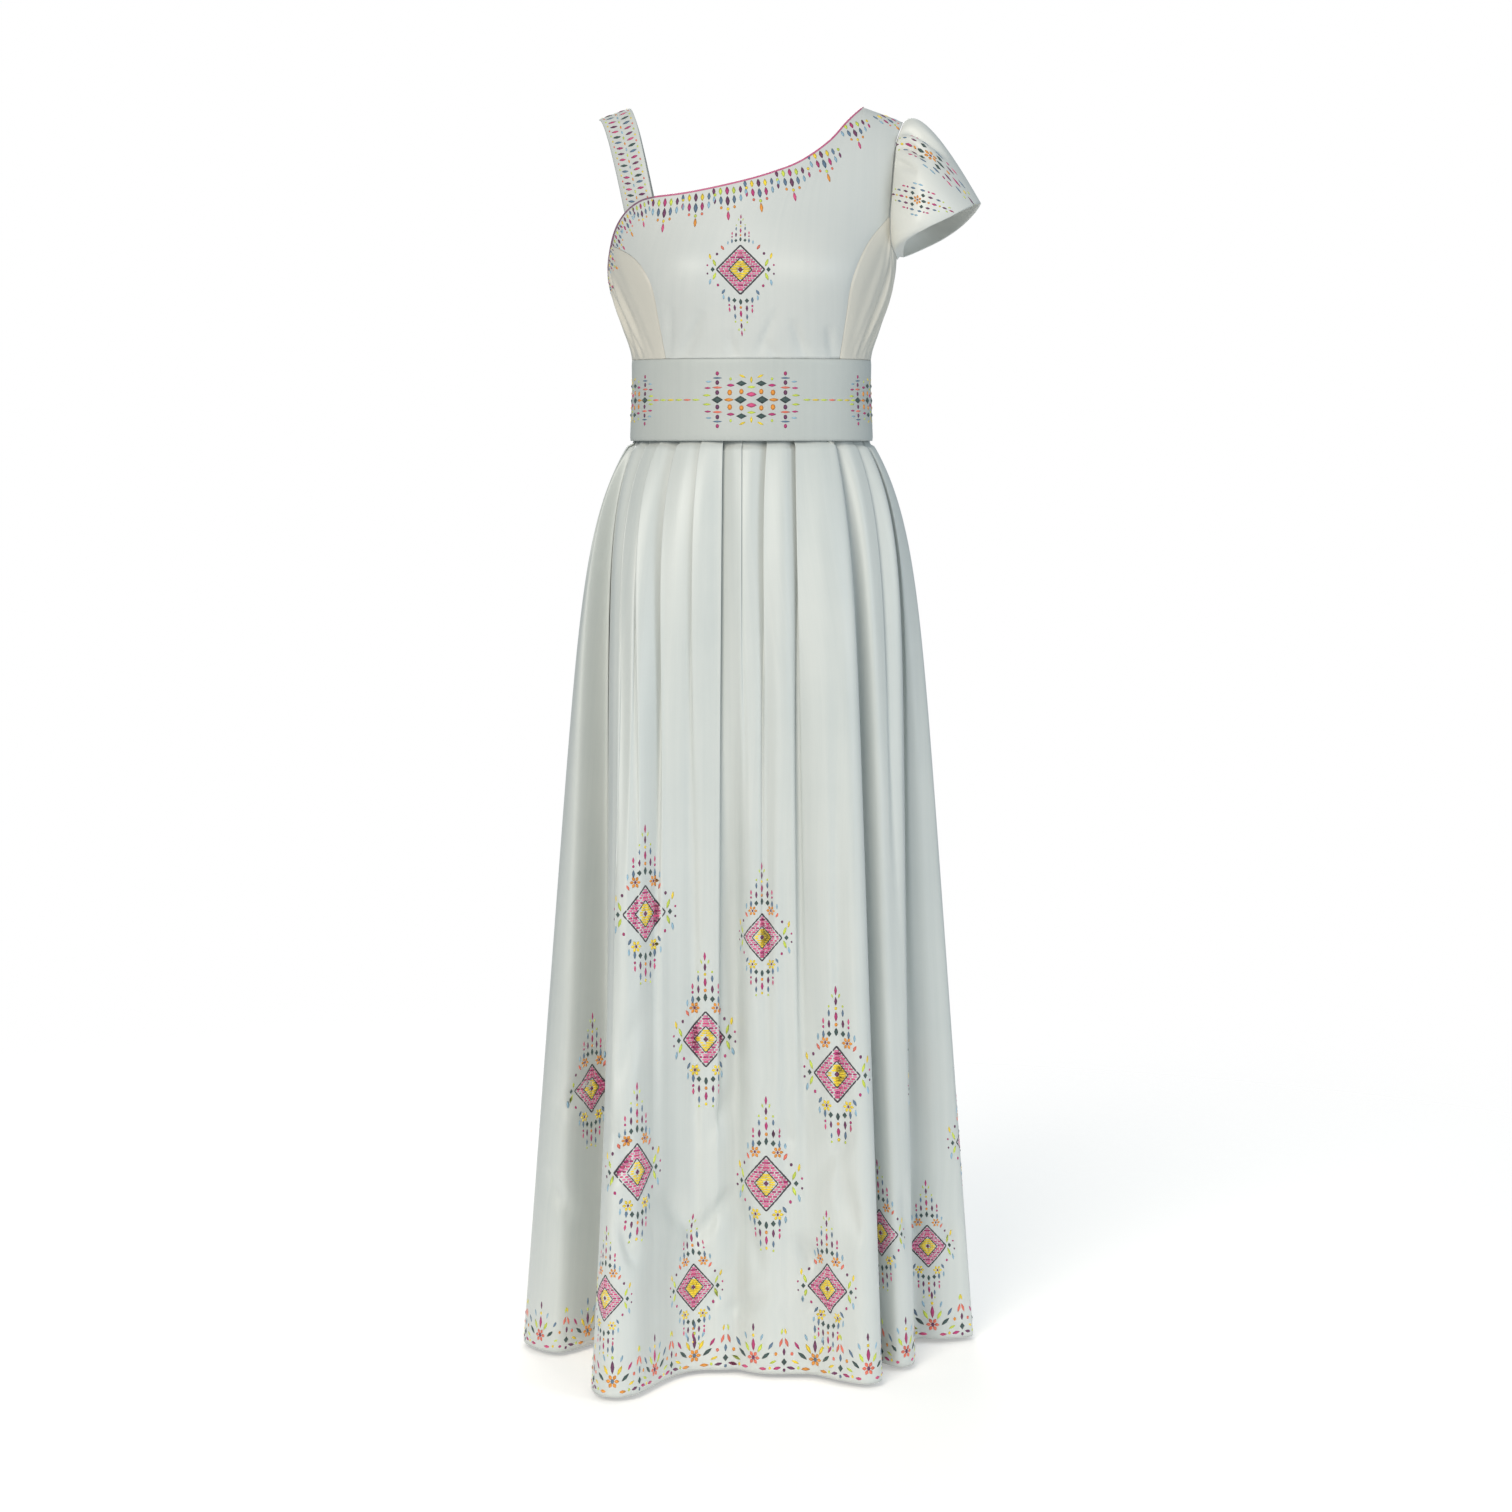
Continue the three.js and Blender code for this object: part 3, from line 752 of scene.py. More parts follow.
# %% Bodice
PANEL_ROWS, SIDE_THREADS = 113, 61
CORNERS = (0.1, 0.875)  # the shares of the middle panel's top where the neckline begins and ends
CENTRE_THREADS = np.interp(np.linspace(0, 18, 163), (0, 4, 15, 18), (0, *CORNERS, 1))
EASING = 5.2
side_seam = {-1: straight([-90, BAND_HIGH], [-90, STRAP_ARMHOLE["height"][0]]),
             1: straight([90, BAND_HIGH], [90, SLEEVE_ARMHOLE["height"][-1]])}
PANELS = {
    "centre": {
        "threads": CENTRE_THREADS,
        "bottom": straight(strap_princess(0.0), sleeve_princess(0.0)),
        "top": joined((CORNERS[0], lambda s: strap_armhole(mix(STRAP_PRINCESS_TOP, 1, s))),
                      (CORNERS[1], neckline), (1, shoulder)),
        "left": strap_princess,
        "right": joined((0.5, sleeve_princess),
                        (1, lambda s: sleeve_armhole(mix(SLEEVE_PRINCESS_TOP, 0, s)))),
        "easing": 0.0,
    },
    "side_under_strap": {
        "threads": np.linspace(0, 1, SIDE_THREADS),
        "bottom": straight([-90, BAND_HIGH], strap_princess(0.0)),
        "top": lambda s: strap_armhole(s * STRAP_PRINCESS_TOP),
        "left": side_seam[-1],
        "right": strap_princess,
        "easing": EASING,
    },
    "side_under_sleeve": {
        "threads": np.linspace(0, 1, SIDE_THREADS),
        "bottom": straight(sleeve_princess(0.0), [90, BAND_HIGH]),
        "top": lambda s: sleeve_armhole(mix(SLEEVE_PRINCESS_TOP, 1, s)),
        "left": sleeve_princess,
        "right": side_seam[1],
        "easing": EASING,
    },
}


def bodice_panel(side, panel):
    threads = panel["threads"] if side is FRONT else 1 - panel["threads"][::-1]
    across, up = np.meshgrid(threads, np.linspace(0, 1, PANEL_ROWS))
    share = across if side is FRONT else 1 - across
    edges = [panel[name] for name in ("bottom", "top", "left", "right")]
    cloth = Cloth(skin(side, spread(*edges, share, up)))
    ease = panel["easing"] * np.sin(np.pi * up) ** 0.7
    fans = np.sin(2 * np.pi * (4.6 * share + 0.3 * np.sin(4 * up))) + 0.6 * np.sin(
        2 * np.pi * (8.3 * share - 0.4 * up))
    press = creases(cloth.points, BUST_CREASES) if side is FRONT and not panel["easing"] else 0
    cloth.lift(0.5 * ease * fans * np.sin(np.pi * share) ** 2 - press + seam_roll(across, up, "lr"))
    cloth.trim("lrb")
    return cloth


for side in (FRONT, BACK):
    for name, panel in PANELS.items():
        # The side panels take the satin copy with painted warm light.
        finish = SATIN["bodice" if name == "centre" else "side"]
        slot = "bodice_cloth" if name == "centre" else "bodice_side_cloth"
        sew(f"bodice_{side[0]}_{name}", bodice_panel(side, panel), finish, WALLS["bodice"], slot)
print("bodice panels:", *cloths)

# %% [markdown]
# ## The waistband
# The band is interlined, so it stays smooth where the cloth round it folds. It only has faint
# ripples along its length, and its two long edges are turned in. It is spread on the form like
# the panels, half a millimetre proud.


# %% Waistband
BAND = {"proud": 0.5, "ripple": 0.5, "threads": 181, "rows": 41}


def waistband(side):
    across, height = np.meshgrid(np.linspace(-1, 1, BAND["threads"]),
                                 np.linspace(BAND_LOW, BAND_HIGH, BAND["rows"]))
    cloth = Cloth(form(side, side[1] * -90 * across, height, BAND["proud"]))
    up = (height - BAND_LOW) / (BAND_HIGH - BAND_LOW)
    ripple = BAND["ripple"] * np.sin(9 * up + 3 * across) * np.cos(7 * across - 4 * up)
    turned = seam_roll(across, up, "bt", 0.03, 0.7)
    cloth.lift(ripple * np.sin(np.pi * up) + turned)
    cloth.trim()
    return cloth


for side in (FRONT, BACK):
    node = "waistband_" + side[0]
    sew(node, waistband(side), SATIN["band"], WALLS["band"], "waistband_cloth")
    print(node, "is", round(float(np.ptp(cloths[node].x[0]))), "mm long")

# %% [markdown]
# ## The strap
# A strap is a folded strip. It comes out from behind the corner of the bodice, leans outwards
# to the shoulder and runs over it to the back. It could be a curve with a flat profile. A grid
# on the same form is simpler here, because the strap then lies on the shoulder by itself.

# %% Strap
STRAP = {"width": 35, "top": -154.5, "lean": 34, "bend": 1.3, "tucked": 0.09, "lift": 6, "under": 2.7}
STRAP_EDGE, STRAP_SLACK = 0.8, 0.25


def strap():
    across, over = np.meshgrid(np.linspace(-1, 1, 29),
                               np.linspace(STRAP["tucked"], math.pi - STRAP["tucked"], 161))
    rise = np.minimum(over, math.pi - over)
    out = STRAP["lift"] * np.sin(rise) ** 4 - STRAP["under"]
    lean = STRAP["lean"] * np.maximum(0, 1 - rise / (math.pi / 2)) ** STRAP["bend"]
    x = STRAP["top"] + lean + across * STRAP["width"] / 2
    half = read(FORM, "half", level_height(ROUND_FROM, rise)) + out
    deg, girth = np.degrees(np.arcsin(x / half)), ROUND_FROM + ROUND * rise
    before, behind = [form(side, deg, girth, out) for side in (FRONT, BACK)]
    cloth = Cloth(np.where((over < math.pi / 2)[..., None], before, behind))
    cloth.lift(STRAP_SLACK * np.sin(over * 40) * (1 - across ** 2) - STRAP_EDGE * np.abs(across) ** 12)
    return cloth


shoulder_strap = strap()
sew("shoulder_strap", shoulder_strap, SATIN["bodice"], WALLS["strap"], "bodice_cloth")
print("strap:", round(float(shoulder_strap.y[-1, 0])), "mm long")

# %% [markdown]
# ## The cap sleeve
# The head of the sleeve is gathered into the top of the armhole, so it puffs up and its ripples
# fade towards the cuff, which stands open. Each line of the grid is a curve from the armhole
# over the puff to the cuff, and the gathers are waves laid on it: a few deep ones and many
# small ones close to the seam. A few dents, each at a share of the turn round the armhole, are
# the deepest gathers, which run further down.

# %% Sleeve
CUFF = table("""
x y height
259 0 1306
252 -26 1303
238 -47 1296
219 -60 1286
196 -66 1275
175 -52 1263
172 0 1248
177 42 1249
199 62 1259
221 62 1270
240 50 1283
254 26 1297
""")
PUFF = {"top": 66, "lean": -0.32}
GATHERS = table("""
count depth fade phase
11 9 3 0
23 2.2 5 1
37 1.0 8 2
""")
DENTS = table("""
turn width depth reach
0.05 0.014 9 0.7
0.11 0.016 8 0.55
0.17 0.013 5 0.4
0.955 0.013 5 0.5
0.89 0.013 4 0.4
""")


SLACK = {"waves": 5, "depth": 1.2, "turn": 2}
SLEEVE_GRID = {"threads": 281, "rows": 81, "crowd": 1.15}  # rows crowd together at the gathers
SLEEVE_OFF = [0.6, 0, 0]  # how far its seam stands off the armhole


def sleeve():
    turn, down = np.meshgrid(np.linspace(0, 1, SLEEVE_GRID["threads"]),
                             np.linspace(0, 1, SLEEVE_GRID["rows"]) ** SLEEVE_GRID["crowd"])
    place = sleeve_armhole(1 - np.abs(1 - 2 * turn))
    start = np.where((turn < 0.5)[..., None], skin(FRONT, place), skin(BACK, place)) + SLEEVE_OFF
    end = along(np.stack(list(CUFF.values()), -1), turn, closed=True)
    angle = 2 * np.pi * turn
    cap = (1 + np.cos(angle)) / 2
    outward = np.stack([PUFF["lean"] * cap, -np.sin(angle), np.cos(angle) * cap], -1)
    middle = (start + end) / 2 + outward * (PUFF["top"] * cap ** 0.6)[..., None]
    v = down[..., None]
    points = start * (1 - v) ** 2 + middle * 2 * v * (1 - v) + end * v * v
    ripple = sum(depth * down * (1 - down) ** fade * cap ** 2 * np.cos(angle * count + phase)
                 for count, depth, fade, phase in zip(*GATHERS.values()))
    points += np.stack([0 * angle, -np.sin(angle), np.cos(angle)], -1) * ripple[..., None]
    cloth = Cloth(points, closed=True)
    slack = np.sin(angle * SLACK["waves"] + SLACK["turn"]) * np.sin(np.pi * down) * SLACK["depth"]
    dents = sum(depth * np.exp(-((turn - at) / width) ** 2)
                * np.sin(np.pi * np.clip(down / reach, 0, 1))
                for at, width, depth, reach in zip(*DENTS.values()))
    cloth.lift(slack * (1 - cap * 0.5) - dents)
    return cloth


cap_sleeve = sleeve()
sew("cap_sleeve", cap_sleeve, SATIN["sleeve"], WALLS["sleeve"], "sleeve_cloth")
print("sleeve: rows and threads", cap_sleeve.x.shape)

# %% [markdown]
# ## The skirt
# The skirt hangs between three lines seen from above: the waist, where its cloth is laid in
# pleats, the hips and the hem, where it swings out in folds. Each row of the table is one line
# down the cloth. waist is its angle from the middle of the front, tuck is how deep it is
# pressed in there, and bow is how far it bends sideways between hip and hem. The back hangs in
# even pleats, so a loop makes its rows.

# %% The lines of the skirt
FOLDS = table("""
waist tuck hip_x hip_y hem_x hem_y bow
-90 0 -180 0 -263 0 0
-83 0 -183 -24 -256 -42 0
-79 0 -184 -37 -222 -70 0
-76 2 -163 -28 -164 -16 0
-74 2 -160 -56 -162 -130 0
-71 0 -163 -70 -177 -198 12
-66 0 -159 -80 -168 -240 9
-59 2 -149 -86 -150 -251 0
-50 0 -136 -104 -128 -240 0
-37 2 -106 -109 -106 -200 0
-29 0 -84 -120 -80 -158 0
-21 0 -60 -124 -56 -143 0
-16 2 -38 -120 -34 -143 0
-4 0 -10 -127 -6 -150 0
9 2 14 -123 20 -159 0
17 0 37 -126 44 -159 0
24 2 55 -120 68 -160 0
32 0 82 -117 98 -184 0
38 0 101 -108 126 -199 0
40.5 0 110 -100 144 -187 0
42.5 3 107 -86 141 -128 0
45 2 113 -82 148 -112 0
51 0 130 -80 164 -131 0
59 2 146 -64 177 -126 0
70 0 168 -52 186 -104 0
77 2 167 -36 180 -42 0
80.5 1 173 -26 190 -12 0
85 0 179 -13 222 -13 0
90 0 180 0 258 3 0
""")
FRONT_ROWS = len(FOLDS["waist"])
BACK_PLEATS = {"count": 8, "tuck": 5, "lean": 0.34}
BACK_HIP = {"half": 171, "depth": 112, "swing": 5}
BACK_HEM = {"half": 232, "depth": 186, "swing": 14}
BACK_LINES = ((0, 0.6, 0, 0), (0.38, 1, 0, 0.5), (0.5, -0.8, 1, 0))  # place, lift, tuck, lean


def back_rows():
    turn = 180 / BACK_PLEATS["count"]
    for k in range(BACK_PLEATS["count"]):
        for at, lift, tuck, lean in BACK_LINES[1 if k == 0 else 0:]:  # the side seam is a row already
            waist = 90 + (k + at) * turn
            row = [waist, tuck * BACK_PLEATS["tuck"]]
            swung = waist + lean * BACK_PLEATS["lean"] * turn
            for size, deg in ((BACK_HIP, waist), (BACK_HEM, swung)):
                reach = 1 + size["swing"] * lift / size["depth"]
                row += [size["half"] * reach * math.sin(math.radians(deg)),
                        -size["depth"] * reach * math.cos(math.radians(deg))]
            yield [*row, 0]


FOLDS = {name: np.concatenate([column, extra]) for (name, column), extra
         in zip(FOLDS.items(), np.array(list(back_rows())).T)}
LINES = len(FOLDS["waist"])
HIP_SPREAD = 70
# A swell is a hollow beside one line, its width in lines, between two heights.
SWELLS = table("""
line width depth low high
12.4 0.4 9 180 800
7.4 0.5 5 480 960
9.2 0.6 5 420 980
14.1 0.3 6 200 980
8.1 0.22 5 250 1030
10.6 0.35 7 -100 860
12.6 0.42 13 -300 900
14.9 0.35 4 -100 820
15.85 0.3 8 100 1010
17.4 0.4 8 -100 900
21.2 0.5 22 -260 1000
2.9 0.6 5 -260 1010
24.1 0.3 5 -120 980
26.2 0.35 9 -60 1000
""")
print("lines down the skirt:", LINES)

# %% [markdown]
# ## Pleats
# A knife pleat is cloth folded over its neighbour: going across, the cloth runs forward, turns
# back under itself and runs forward again. On the grid, the same is done by shifting points
# sideways past each other and pressing the lower layer in. over says which side lies on top:
# 1 is the side of the higher lines. The overlap opens further down and ends at the height low.

# %% Pleats
PLEATS = table("""
line over lap width deep soft low
7.0 1 7 3.6 7 10 240
8.1 1 5 3.4 5 8 420
9.2 1 8 3.8 10 12 60
10.7 1 5 3.4 5 9 380
12.0 -1 9 3.8 11 14 -100
12.9 -1 4 3.4 4 9 420
14.0 1 7 3.6 9 12 120
15.9 1 8 3.6 9 12 160
19.8 -1 6 4.0 9 12 200
22.9 -1 6 3.6 7 10 420
25.0 -1 8 4.0 9 10 300
26.3 1 6 3.6 9 9 100
1.0 -1 5 4.0 4 10 800
""")
PLEAT_OPENS = 0.0025  # how much wider a pleat's turn gets for each millimetre down


def hang(lines, heights):
    """The skirt's skin before its pleats."""
    share = lines / LINES
    waist = FOLDS["waist"]
    depth = np.where(np.abs(waist) <= 90, FORM["front"][0], FORM["back"][0]) - FOLDS["tuck"]
    turn = np.radians(waist)
    half = FORM["half"][0] - FOLDS["tuck"]
    waist_line, hip_line, hem_line, bow_line = [
        along(np.stack(plan, -1), share, closed=True) for plan in (
            (half * np.sin(turn), -depth * np.cos(turn)), (FOLDS["hip_x"], FOLDS["hip_y"]),
            (FOLDS["hem_x"], FOLDS["hem_y"]), (FOLDS["bow"], np.arange(LINES)))]
    drop = np.maximum(BAND_LOW - heights, 0)[:, None, None]
    fall = drop / BAND_LOW
    hung = mix(hip_line[None], hem_line[None], fall)
    hung[..., 0] += (4 * fall * (1 - fall))[..., 0] * bow_line[None, :, 0]
    plan = mix(waist_line[None], hung, 1 - np.exp(-drop / HIP_SPREAD))
    inwards = 0
    for line, width, deep, low, high in zip(*SWELLS.values()):
        part = np.clip((heights - low) / (high - low), 0, 1)[:, None]
        inwards = inwards + deep * np.sin(np.pi * part) ** 2 * np.exp(-((lines - line) / width) ** 2)
    plan *= 1 - (inwards / np.linalg.norm(plan, axis=-1))[..., None]
    return np.concatenate([plan, np.broadcast_to(heights[:, None, None], plan.shape[:2] + (1,))], -1)


def lay_pleats(points, lines, heights):
    """Folds the cloth over at each pleat."""
    across, _, normal = directions(points, closed=True)
    far = run(points, 1)
    shift, press, round_trip = np.zeros_like(far), np.zeros_like(far), far[:, -1:]
    drop = (BAND_LOW - heights)[:, None]
    for line, over, lap, width, deep, soft, low in zip(*PLEATS.values()):
        at = np.interp(line if line > lines[0] else line + LINES, lines, np.arange(len(lines)))
        left = int(at)
        datum = mix(far[:, left:left + 1], far[:, left + 1:left + 2], at - left)
        held = smooth(low, BAND_LOW, heights)[:, None] ** 0.8
        turn = width * (1 + PLEAT_OPENS * np.maximum(drop, 0))
        t = (np.mod(far - datum + round_trip / 2, round_trip) - round_trip / 2) / turn
        shift -= lap * held * t * np.exp(0.5 * (1 - t * t))
        under = -over * t
        press += deep * held * smooth(-1, 1, under) * np.exp(-np.maximum(under - 1, 0) * turn / soft)
    return points + across * shift[..., None] - normal * press[..., None]


print("pleats:", len(PLEATS["line"]))

# %% [markdown]
# ## Cutting the skirt into gores
# The seams lie hidden in the hollows between pleats. The whole ring is placed first, so that
# the gores fit, and each gore is then cut out of it. Lines of the grid crowd together at the
# pleats, where the cloth turns sharply. At the top, the whole ring is drawn in to go up behind
# the waistband. Near the hem, satin is never quite smooth: short diagonal creases catch the
# light there.

# %% Gores
GORES = {"skirt_front": (3, 20), "skirt_side_under_sleeve": (20, FRONT_ROWS + 4),
         "skirt_back_sleeve_half": (FRONT_ROWS + 4, FRONT_ROWS + 13),
         "skirt_back_strap_half": (FRONT_ROWS + 13, FRONT_ROWS + 19),
         "skirt_side_under_strap": (FRONT_ROWS + 19, LINES + 3)}
THREADS_PER_LINE = {"front": 12, "back": 8, "pleat": 21, "pleat_width": 0.3}
TUCK = {"up": 6, "in": 4.6, "from": -6, "to": 1}  # how the skirt goes up behind the waistband
ROW_STEPS = ((0, 260, 44), (260, 880, 62), (880, BAND_LOW + TUCK["up"], 46))
FACING_FRONT = 1.5  # how fast the hem's creases fade round the sides
HEM_CREASES = table("""
x1 y1 x2 y2 width depth
-162 300 -128 248 7.8 7.0
-166 228 -128 258 6.8 5.8
-146 196 -122 132 8.8 8.7
-78 132 -14 208 9.8 9.2
8 278 60 262 7.8 5.3
46 164 78 112 8.8 7.0
-28 120 -46 66 8.8 7.0
220 145 238 100 7.8 5.8
-230 270 -188 305 7.8 5.8
-104 214 -58 148 9.8 7.0
-12 192 12 108 10.7 6.3
-236 210 -205 150 8.8 5.8
96 240 122 150 9.8 5.8
172 210 186 120 8.8 5.3
-60 250 -8 330 10.2 5.1
70 215 118 300 10.2 5.1
-40 60 30 96 7.6 5.1
52 90 104 60 7.6 5.1
-150 330 -120 420 10.2 4.4
""")


def grid_lines():
    """Where the grid's lines go down the cloth, closer together at the pleats."""
    step = 0.01
    fine = np.arange(0, LINES + 3, step)
    front = (fine < FRONT_ROWS - 1) | (fine > LINES)
    crowd = np.where(front, THREADS_PER_LINE["front"], THREADS_PER_LINE["back"]).astype(float)
    for line in PLEATS["line"]:
        off = (fine % LINES - line) / THREADS_PER_LINE["pleat_width"]
        crowd += THREADS_PER_LINE["pleat"] * np.exp(-off ** 2)
    count = np.cumsum(crowd) * step
    found = []
    for start, end in GORES.values():
        low, high = np.interp([start, end], fine, count)
        found.append(np.interp(np.linspace(low, high, int(high - low) + 2), count, fine))
    return found


gore_lines = grid_lines()
heights = np.unique(np.concatenate([np.linspace(*step) for step in ROW_STEPS]))
ring = np.concatenate([lines[:-1] for lines in gore_lines] + [gore_lines[0][:1] + LINES])
skin_points = hang(ring, heights)
tuck_in = TUCK["in"] * smooth(BAND_LOW + TUCK["from"], BAND_LOW + TUCK["to"], heights)
skin_points -= directions(skin_points, closed=True)[2] * tuck_in[:, None, None]
skin_points = lay_pleats(skin_points, ring, heights)
outward = directions(skin_points, closed=True)[2]
facing = np.clip(-outward[..., 1] * FACING_FRONT, 0, 1)
skin_points -= outward * (creases(skin_points, HEM_CREASES) * facing)[..., None]
first = 0
for node, lines in zip(GORES, gore_lines):
    last = first + len(lines) - 1
    gore = Cloth(skin_points[:, first:last + 1].copy(), y=heights[:, None])
    gore.trim("lr")
    sew(node, gore, SATIN["skirt"], WALLS["skirt"], "skirt_cloth")
    first = last
print("threads in the skirt:", ring.size, "by", heights.size)

# %% [markdown]
# ## Thread
# Embroidery silk is brighter than the cloth, and each stitch shows fine strands along its
# length. The strands are a wave bump across the stitch's own UV map, and the colour comes from
# the stitch itself, so that one material serves every colour of thread.

# %% Thread
THREADS = {
    "magenta": srgb(186, 20, 110), "plum": srgb(104, 20, 84), "rose": srgb(216, 64, 124),
    "pink": srgb(232, 126, 170), "yellow": srgb(250, 216, 20), "lime": srgb(208, 224, 66),
    "orange": srgb(238, 148, 24), "bottle": srgb(38, 70, 68), "slate": srgb(86, 116, 146),
    "sky": srgb(146, 186, 210), "ink": srgb(44, 34, 52), "coral": srgb(238, 112, 88),
    "white": srgb(240, 240, 236),
}


def thread_material():
    recipe = Recipe("embroidery_thread")
    colour = recipe.node("ShaderNodeAttribute", {"attribute_name": "thread"})
    place = recipe.node("ShaderNodeUVMap", {"uv_map": "stitch"})
    strands = recipe.node("ShaderNodeTexWave", {"bands_direction": "Y"},
                          {"Vector": place, "Scale": 700.0, "Distortion": 2.0, "Detail": 1.0})
    worn = recipe.node("ShaderNodeTexNoise", (), {"Vector": place, "Scale": 900.0, "Detail": 2.0})
    shade = recipe.blend(worn * 0.08, colour, THREADS["white"])
    return recipe.finish(Base_Color=shade, Roughness=worn * 0.2 + 0.35,
                         Normal=recipe.bump(0.35, 0.0002, strands),
                         Specular_IOR_Level=0.4, Sheen_Weight=0.1)


THREAD = thread_material()
print("threads:", len(THREADS))

# %% [markdown]
# ## Stitches
# The embroidery is made of four kinds of short satin stitch: a seed, pointed at both ends, a
# diamond, a round dot and a bar. A table says where each lies on the flat cloth, how long, wide
# and turned it is, and its thread, so a motif can be moved, turned and mirrored as a list before
# anything is made. Each kind is one curve: a number bends its rim from a diamond to a bar.

# %% Stitches
KINDS = {"diamond": 1.0, "seed": 1.35, "dot": 2.0, "bar": 4.0}
SIDES = 8
STITCH = {"rise": 0.6, "sunk": 0.12, "long": 1.16, "wide": 1.42}
LAID_LAST, HIGHER = ("ink", "bottle"), 0.25
PLAIN_WIDTH, FLATTEST, PLUMPEST = 3, 0.8, 1.5  # a wider stitch stands higher, within these shares


def stitches(rows):
    """Rows of stitches, with a mirrored copy of each row whose pair is 1."""
    found = []
    columns = table("kind x y long wide turn thread pair" + rows)
    for kind, x, y, long, wide, turn, thread, pair in zip(*columns.values()):
        found.append((kind, x, y, long, wide, turn, thread))
        if pair:
            found.append((kind, -x, y, long, wide, -turn, thread))
    return found


def moved(group, x=0.0, y=0.0, size=1.0, turn=0.0, swap=()):
    """A group of stitches scaled, turned and moved, with some threads swapped for others."""
    c, s = size * math.cos(math.radians(turn)), size * math.sin(math.radians(turn))
    swap = dict(swap)
    return [(kind, x + c * a - s * b, y + s * a + c * b, long * size, wide * size, angle + turn,
             swap.get(thread, thread)) for kind, a, b, long, wide, angle, thread in group]


def flipped(group):
    """A group turned upside down."""
    return [(kind, x, -y, long, wide, -turn, thread) for kind, x, y, long, wide, turn, thread in group]


def outlines(group):
    """The points of each stitch on the flat cloth, its rim first and its middle last."""
    rim = np.arange(SIDES) * 2 * np.pi / SIDES
    unit = np.stack([np.cos(rim), np.sin(rim)])
    flat = []
    for kind, x, y, long, wide, turn, _ in group:
        reach = (np.abs(unit) ** KINDS[kind]).sum(axis=0) ** (-1 / KINDS[kind])
        ahead, beside = unit * reach * [[long * STITCH["long"] / 2], [wide * STITCH["wide"] / 2]]
        c, s = math.cos(math.radians(turn)), math.sin(math.radians(turn))
        flat.append(np.stack([x + c * ahead - s * beside, y + s * ahead + c * beside], -1))
    middles = [[[row[1], row[2]]] for row in group]
    return np.concatenate([np.array(flat), middles], axis=1)


def lifts(group):
    """How far each stitch's points stand out from the cloth. Its rim is sunk in, to close it."""
    rise = np.full((len(group), SIDES + 1), -STITCH["sunk"])
    plump = np.clip([row[4] / PLAIN_WIDTH for row in group], FLATTEST, PLUMPEST)
    rise[:, SIDES] = STITCH["rise"] * plump
    rise[:, SIDES] += [HIGHER * (row[6] in LAID_LAST) for row in group]
    return rise


print("kinds of stitch:", *KINDS)

# %% [markdown]
# ## Embroidering
# Modelling every stitch by hand would be slow, and a texture would lie flat. Here one low dome
# of eight sides is made once and duplicated until there is one for each stitch, and the points
# of each copy then move to their places. No two stitches catch the light alike, so each is a
# little lighter or darker than its thread.

# %% Embroidery
SHADES = (0.82, 1.08)


def dome():
    """A low dome, and which point of a stitch each of its vertices is."""
    made = bmesh.new()
    bmesh.ops.create_circle(made, segments=SIDES, radius=1, cap_ends=True)
    bmesh.ops.poke(made, faces=made.faces[:])
    turns = [math.atan2(vert.co.y, vert.co.x) * SIDES / (2 * math.pi) for vert in made.verts]
    roles = [round(turn) % SIDES if vert.co.length > 0.5 else SIDES
             for vert, turn in zip(made.verts, turns)]
    for vert, role in zip(made.verts, roles):
        vert.co.z = 0.5 * (role == SIDES)
    bmesh.ops.holes_fill(made, edges=made.edges[:], sides=0)
    bmesh.ops.recalc_face_normals(made, faces=made.faces[:])
    return made, roles


def repeat(made, count):
    """Duplicates what a bmesh holds until it is there count times."""
    parts = [(kind, len(kind)) for kind in (made.verts, made.edges, made.faces)]
    copies = 1
    while copies < count:
        extra = min(copies, count - copies)
        bmesh.ops.duplicate(made, geom=[item for kind, each in parts for item in kind[:extra * each]])
        copies += extra
    made.verts.ensure_lookup_table()


embroidery = {}


def embroider(node, placed, seed=1):
    """Makes one piece for a node from (group, its points in the air) pairs."""
    group = [row for rows, _ in placed for row in rows]
    metres = to_metres(np.concatenate([points for _, points in placed]))
    made, roles = dome()
    uv, colour = made.loops.layers.uv.new("stitch"), made.verts.layers.float_color.new("thread")
    repeat(made, len(group))
    local = outlines([(kind, 0, 0, long, wide, 0, thread)
                      for kind, _, _, long, wide, _, thread in group])
    dice = random.Random(seed)
    for k, row in enumerate(group):
        light = dice.uniform(*SHADES)
        shade = [min(1, c * light) for c in THREADS[row[6]]] + [1]
        for step, j in enumerate(roles):
            vert = made.verts[k * (SIDES + 1) + step]
            vert.co, vert[colour] = metres[k, j], shade
            for loop in vert.link_loops:
                loop[uv].uv = (local[k, j] + [0, k % 7]) * MM
    for face in made.faces:
        face.smooth = True
    embroidery[node] = finish_mesh(node + "_embroidery", made, THREAD)


trial = dome()
print("a stitch has", len(trial[0].faces), "faces and", len(trial[1]), "points")
trial[0].free()

# %% [markdown]
# ## Motifs
# Every motif is a short table of stitches. A comb is a set of upright seeds that steps up to a
# point. A pendant hangs from an edge, and the hem's unit stands on it. A rosette has petals
# round a dot, so a function makes it. Each row of a table is kind, x, y, length, width, turn,
# thread and 1 where it has a mirrored twin.

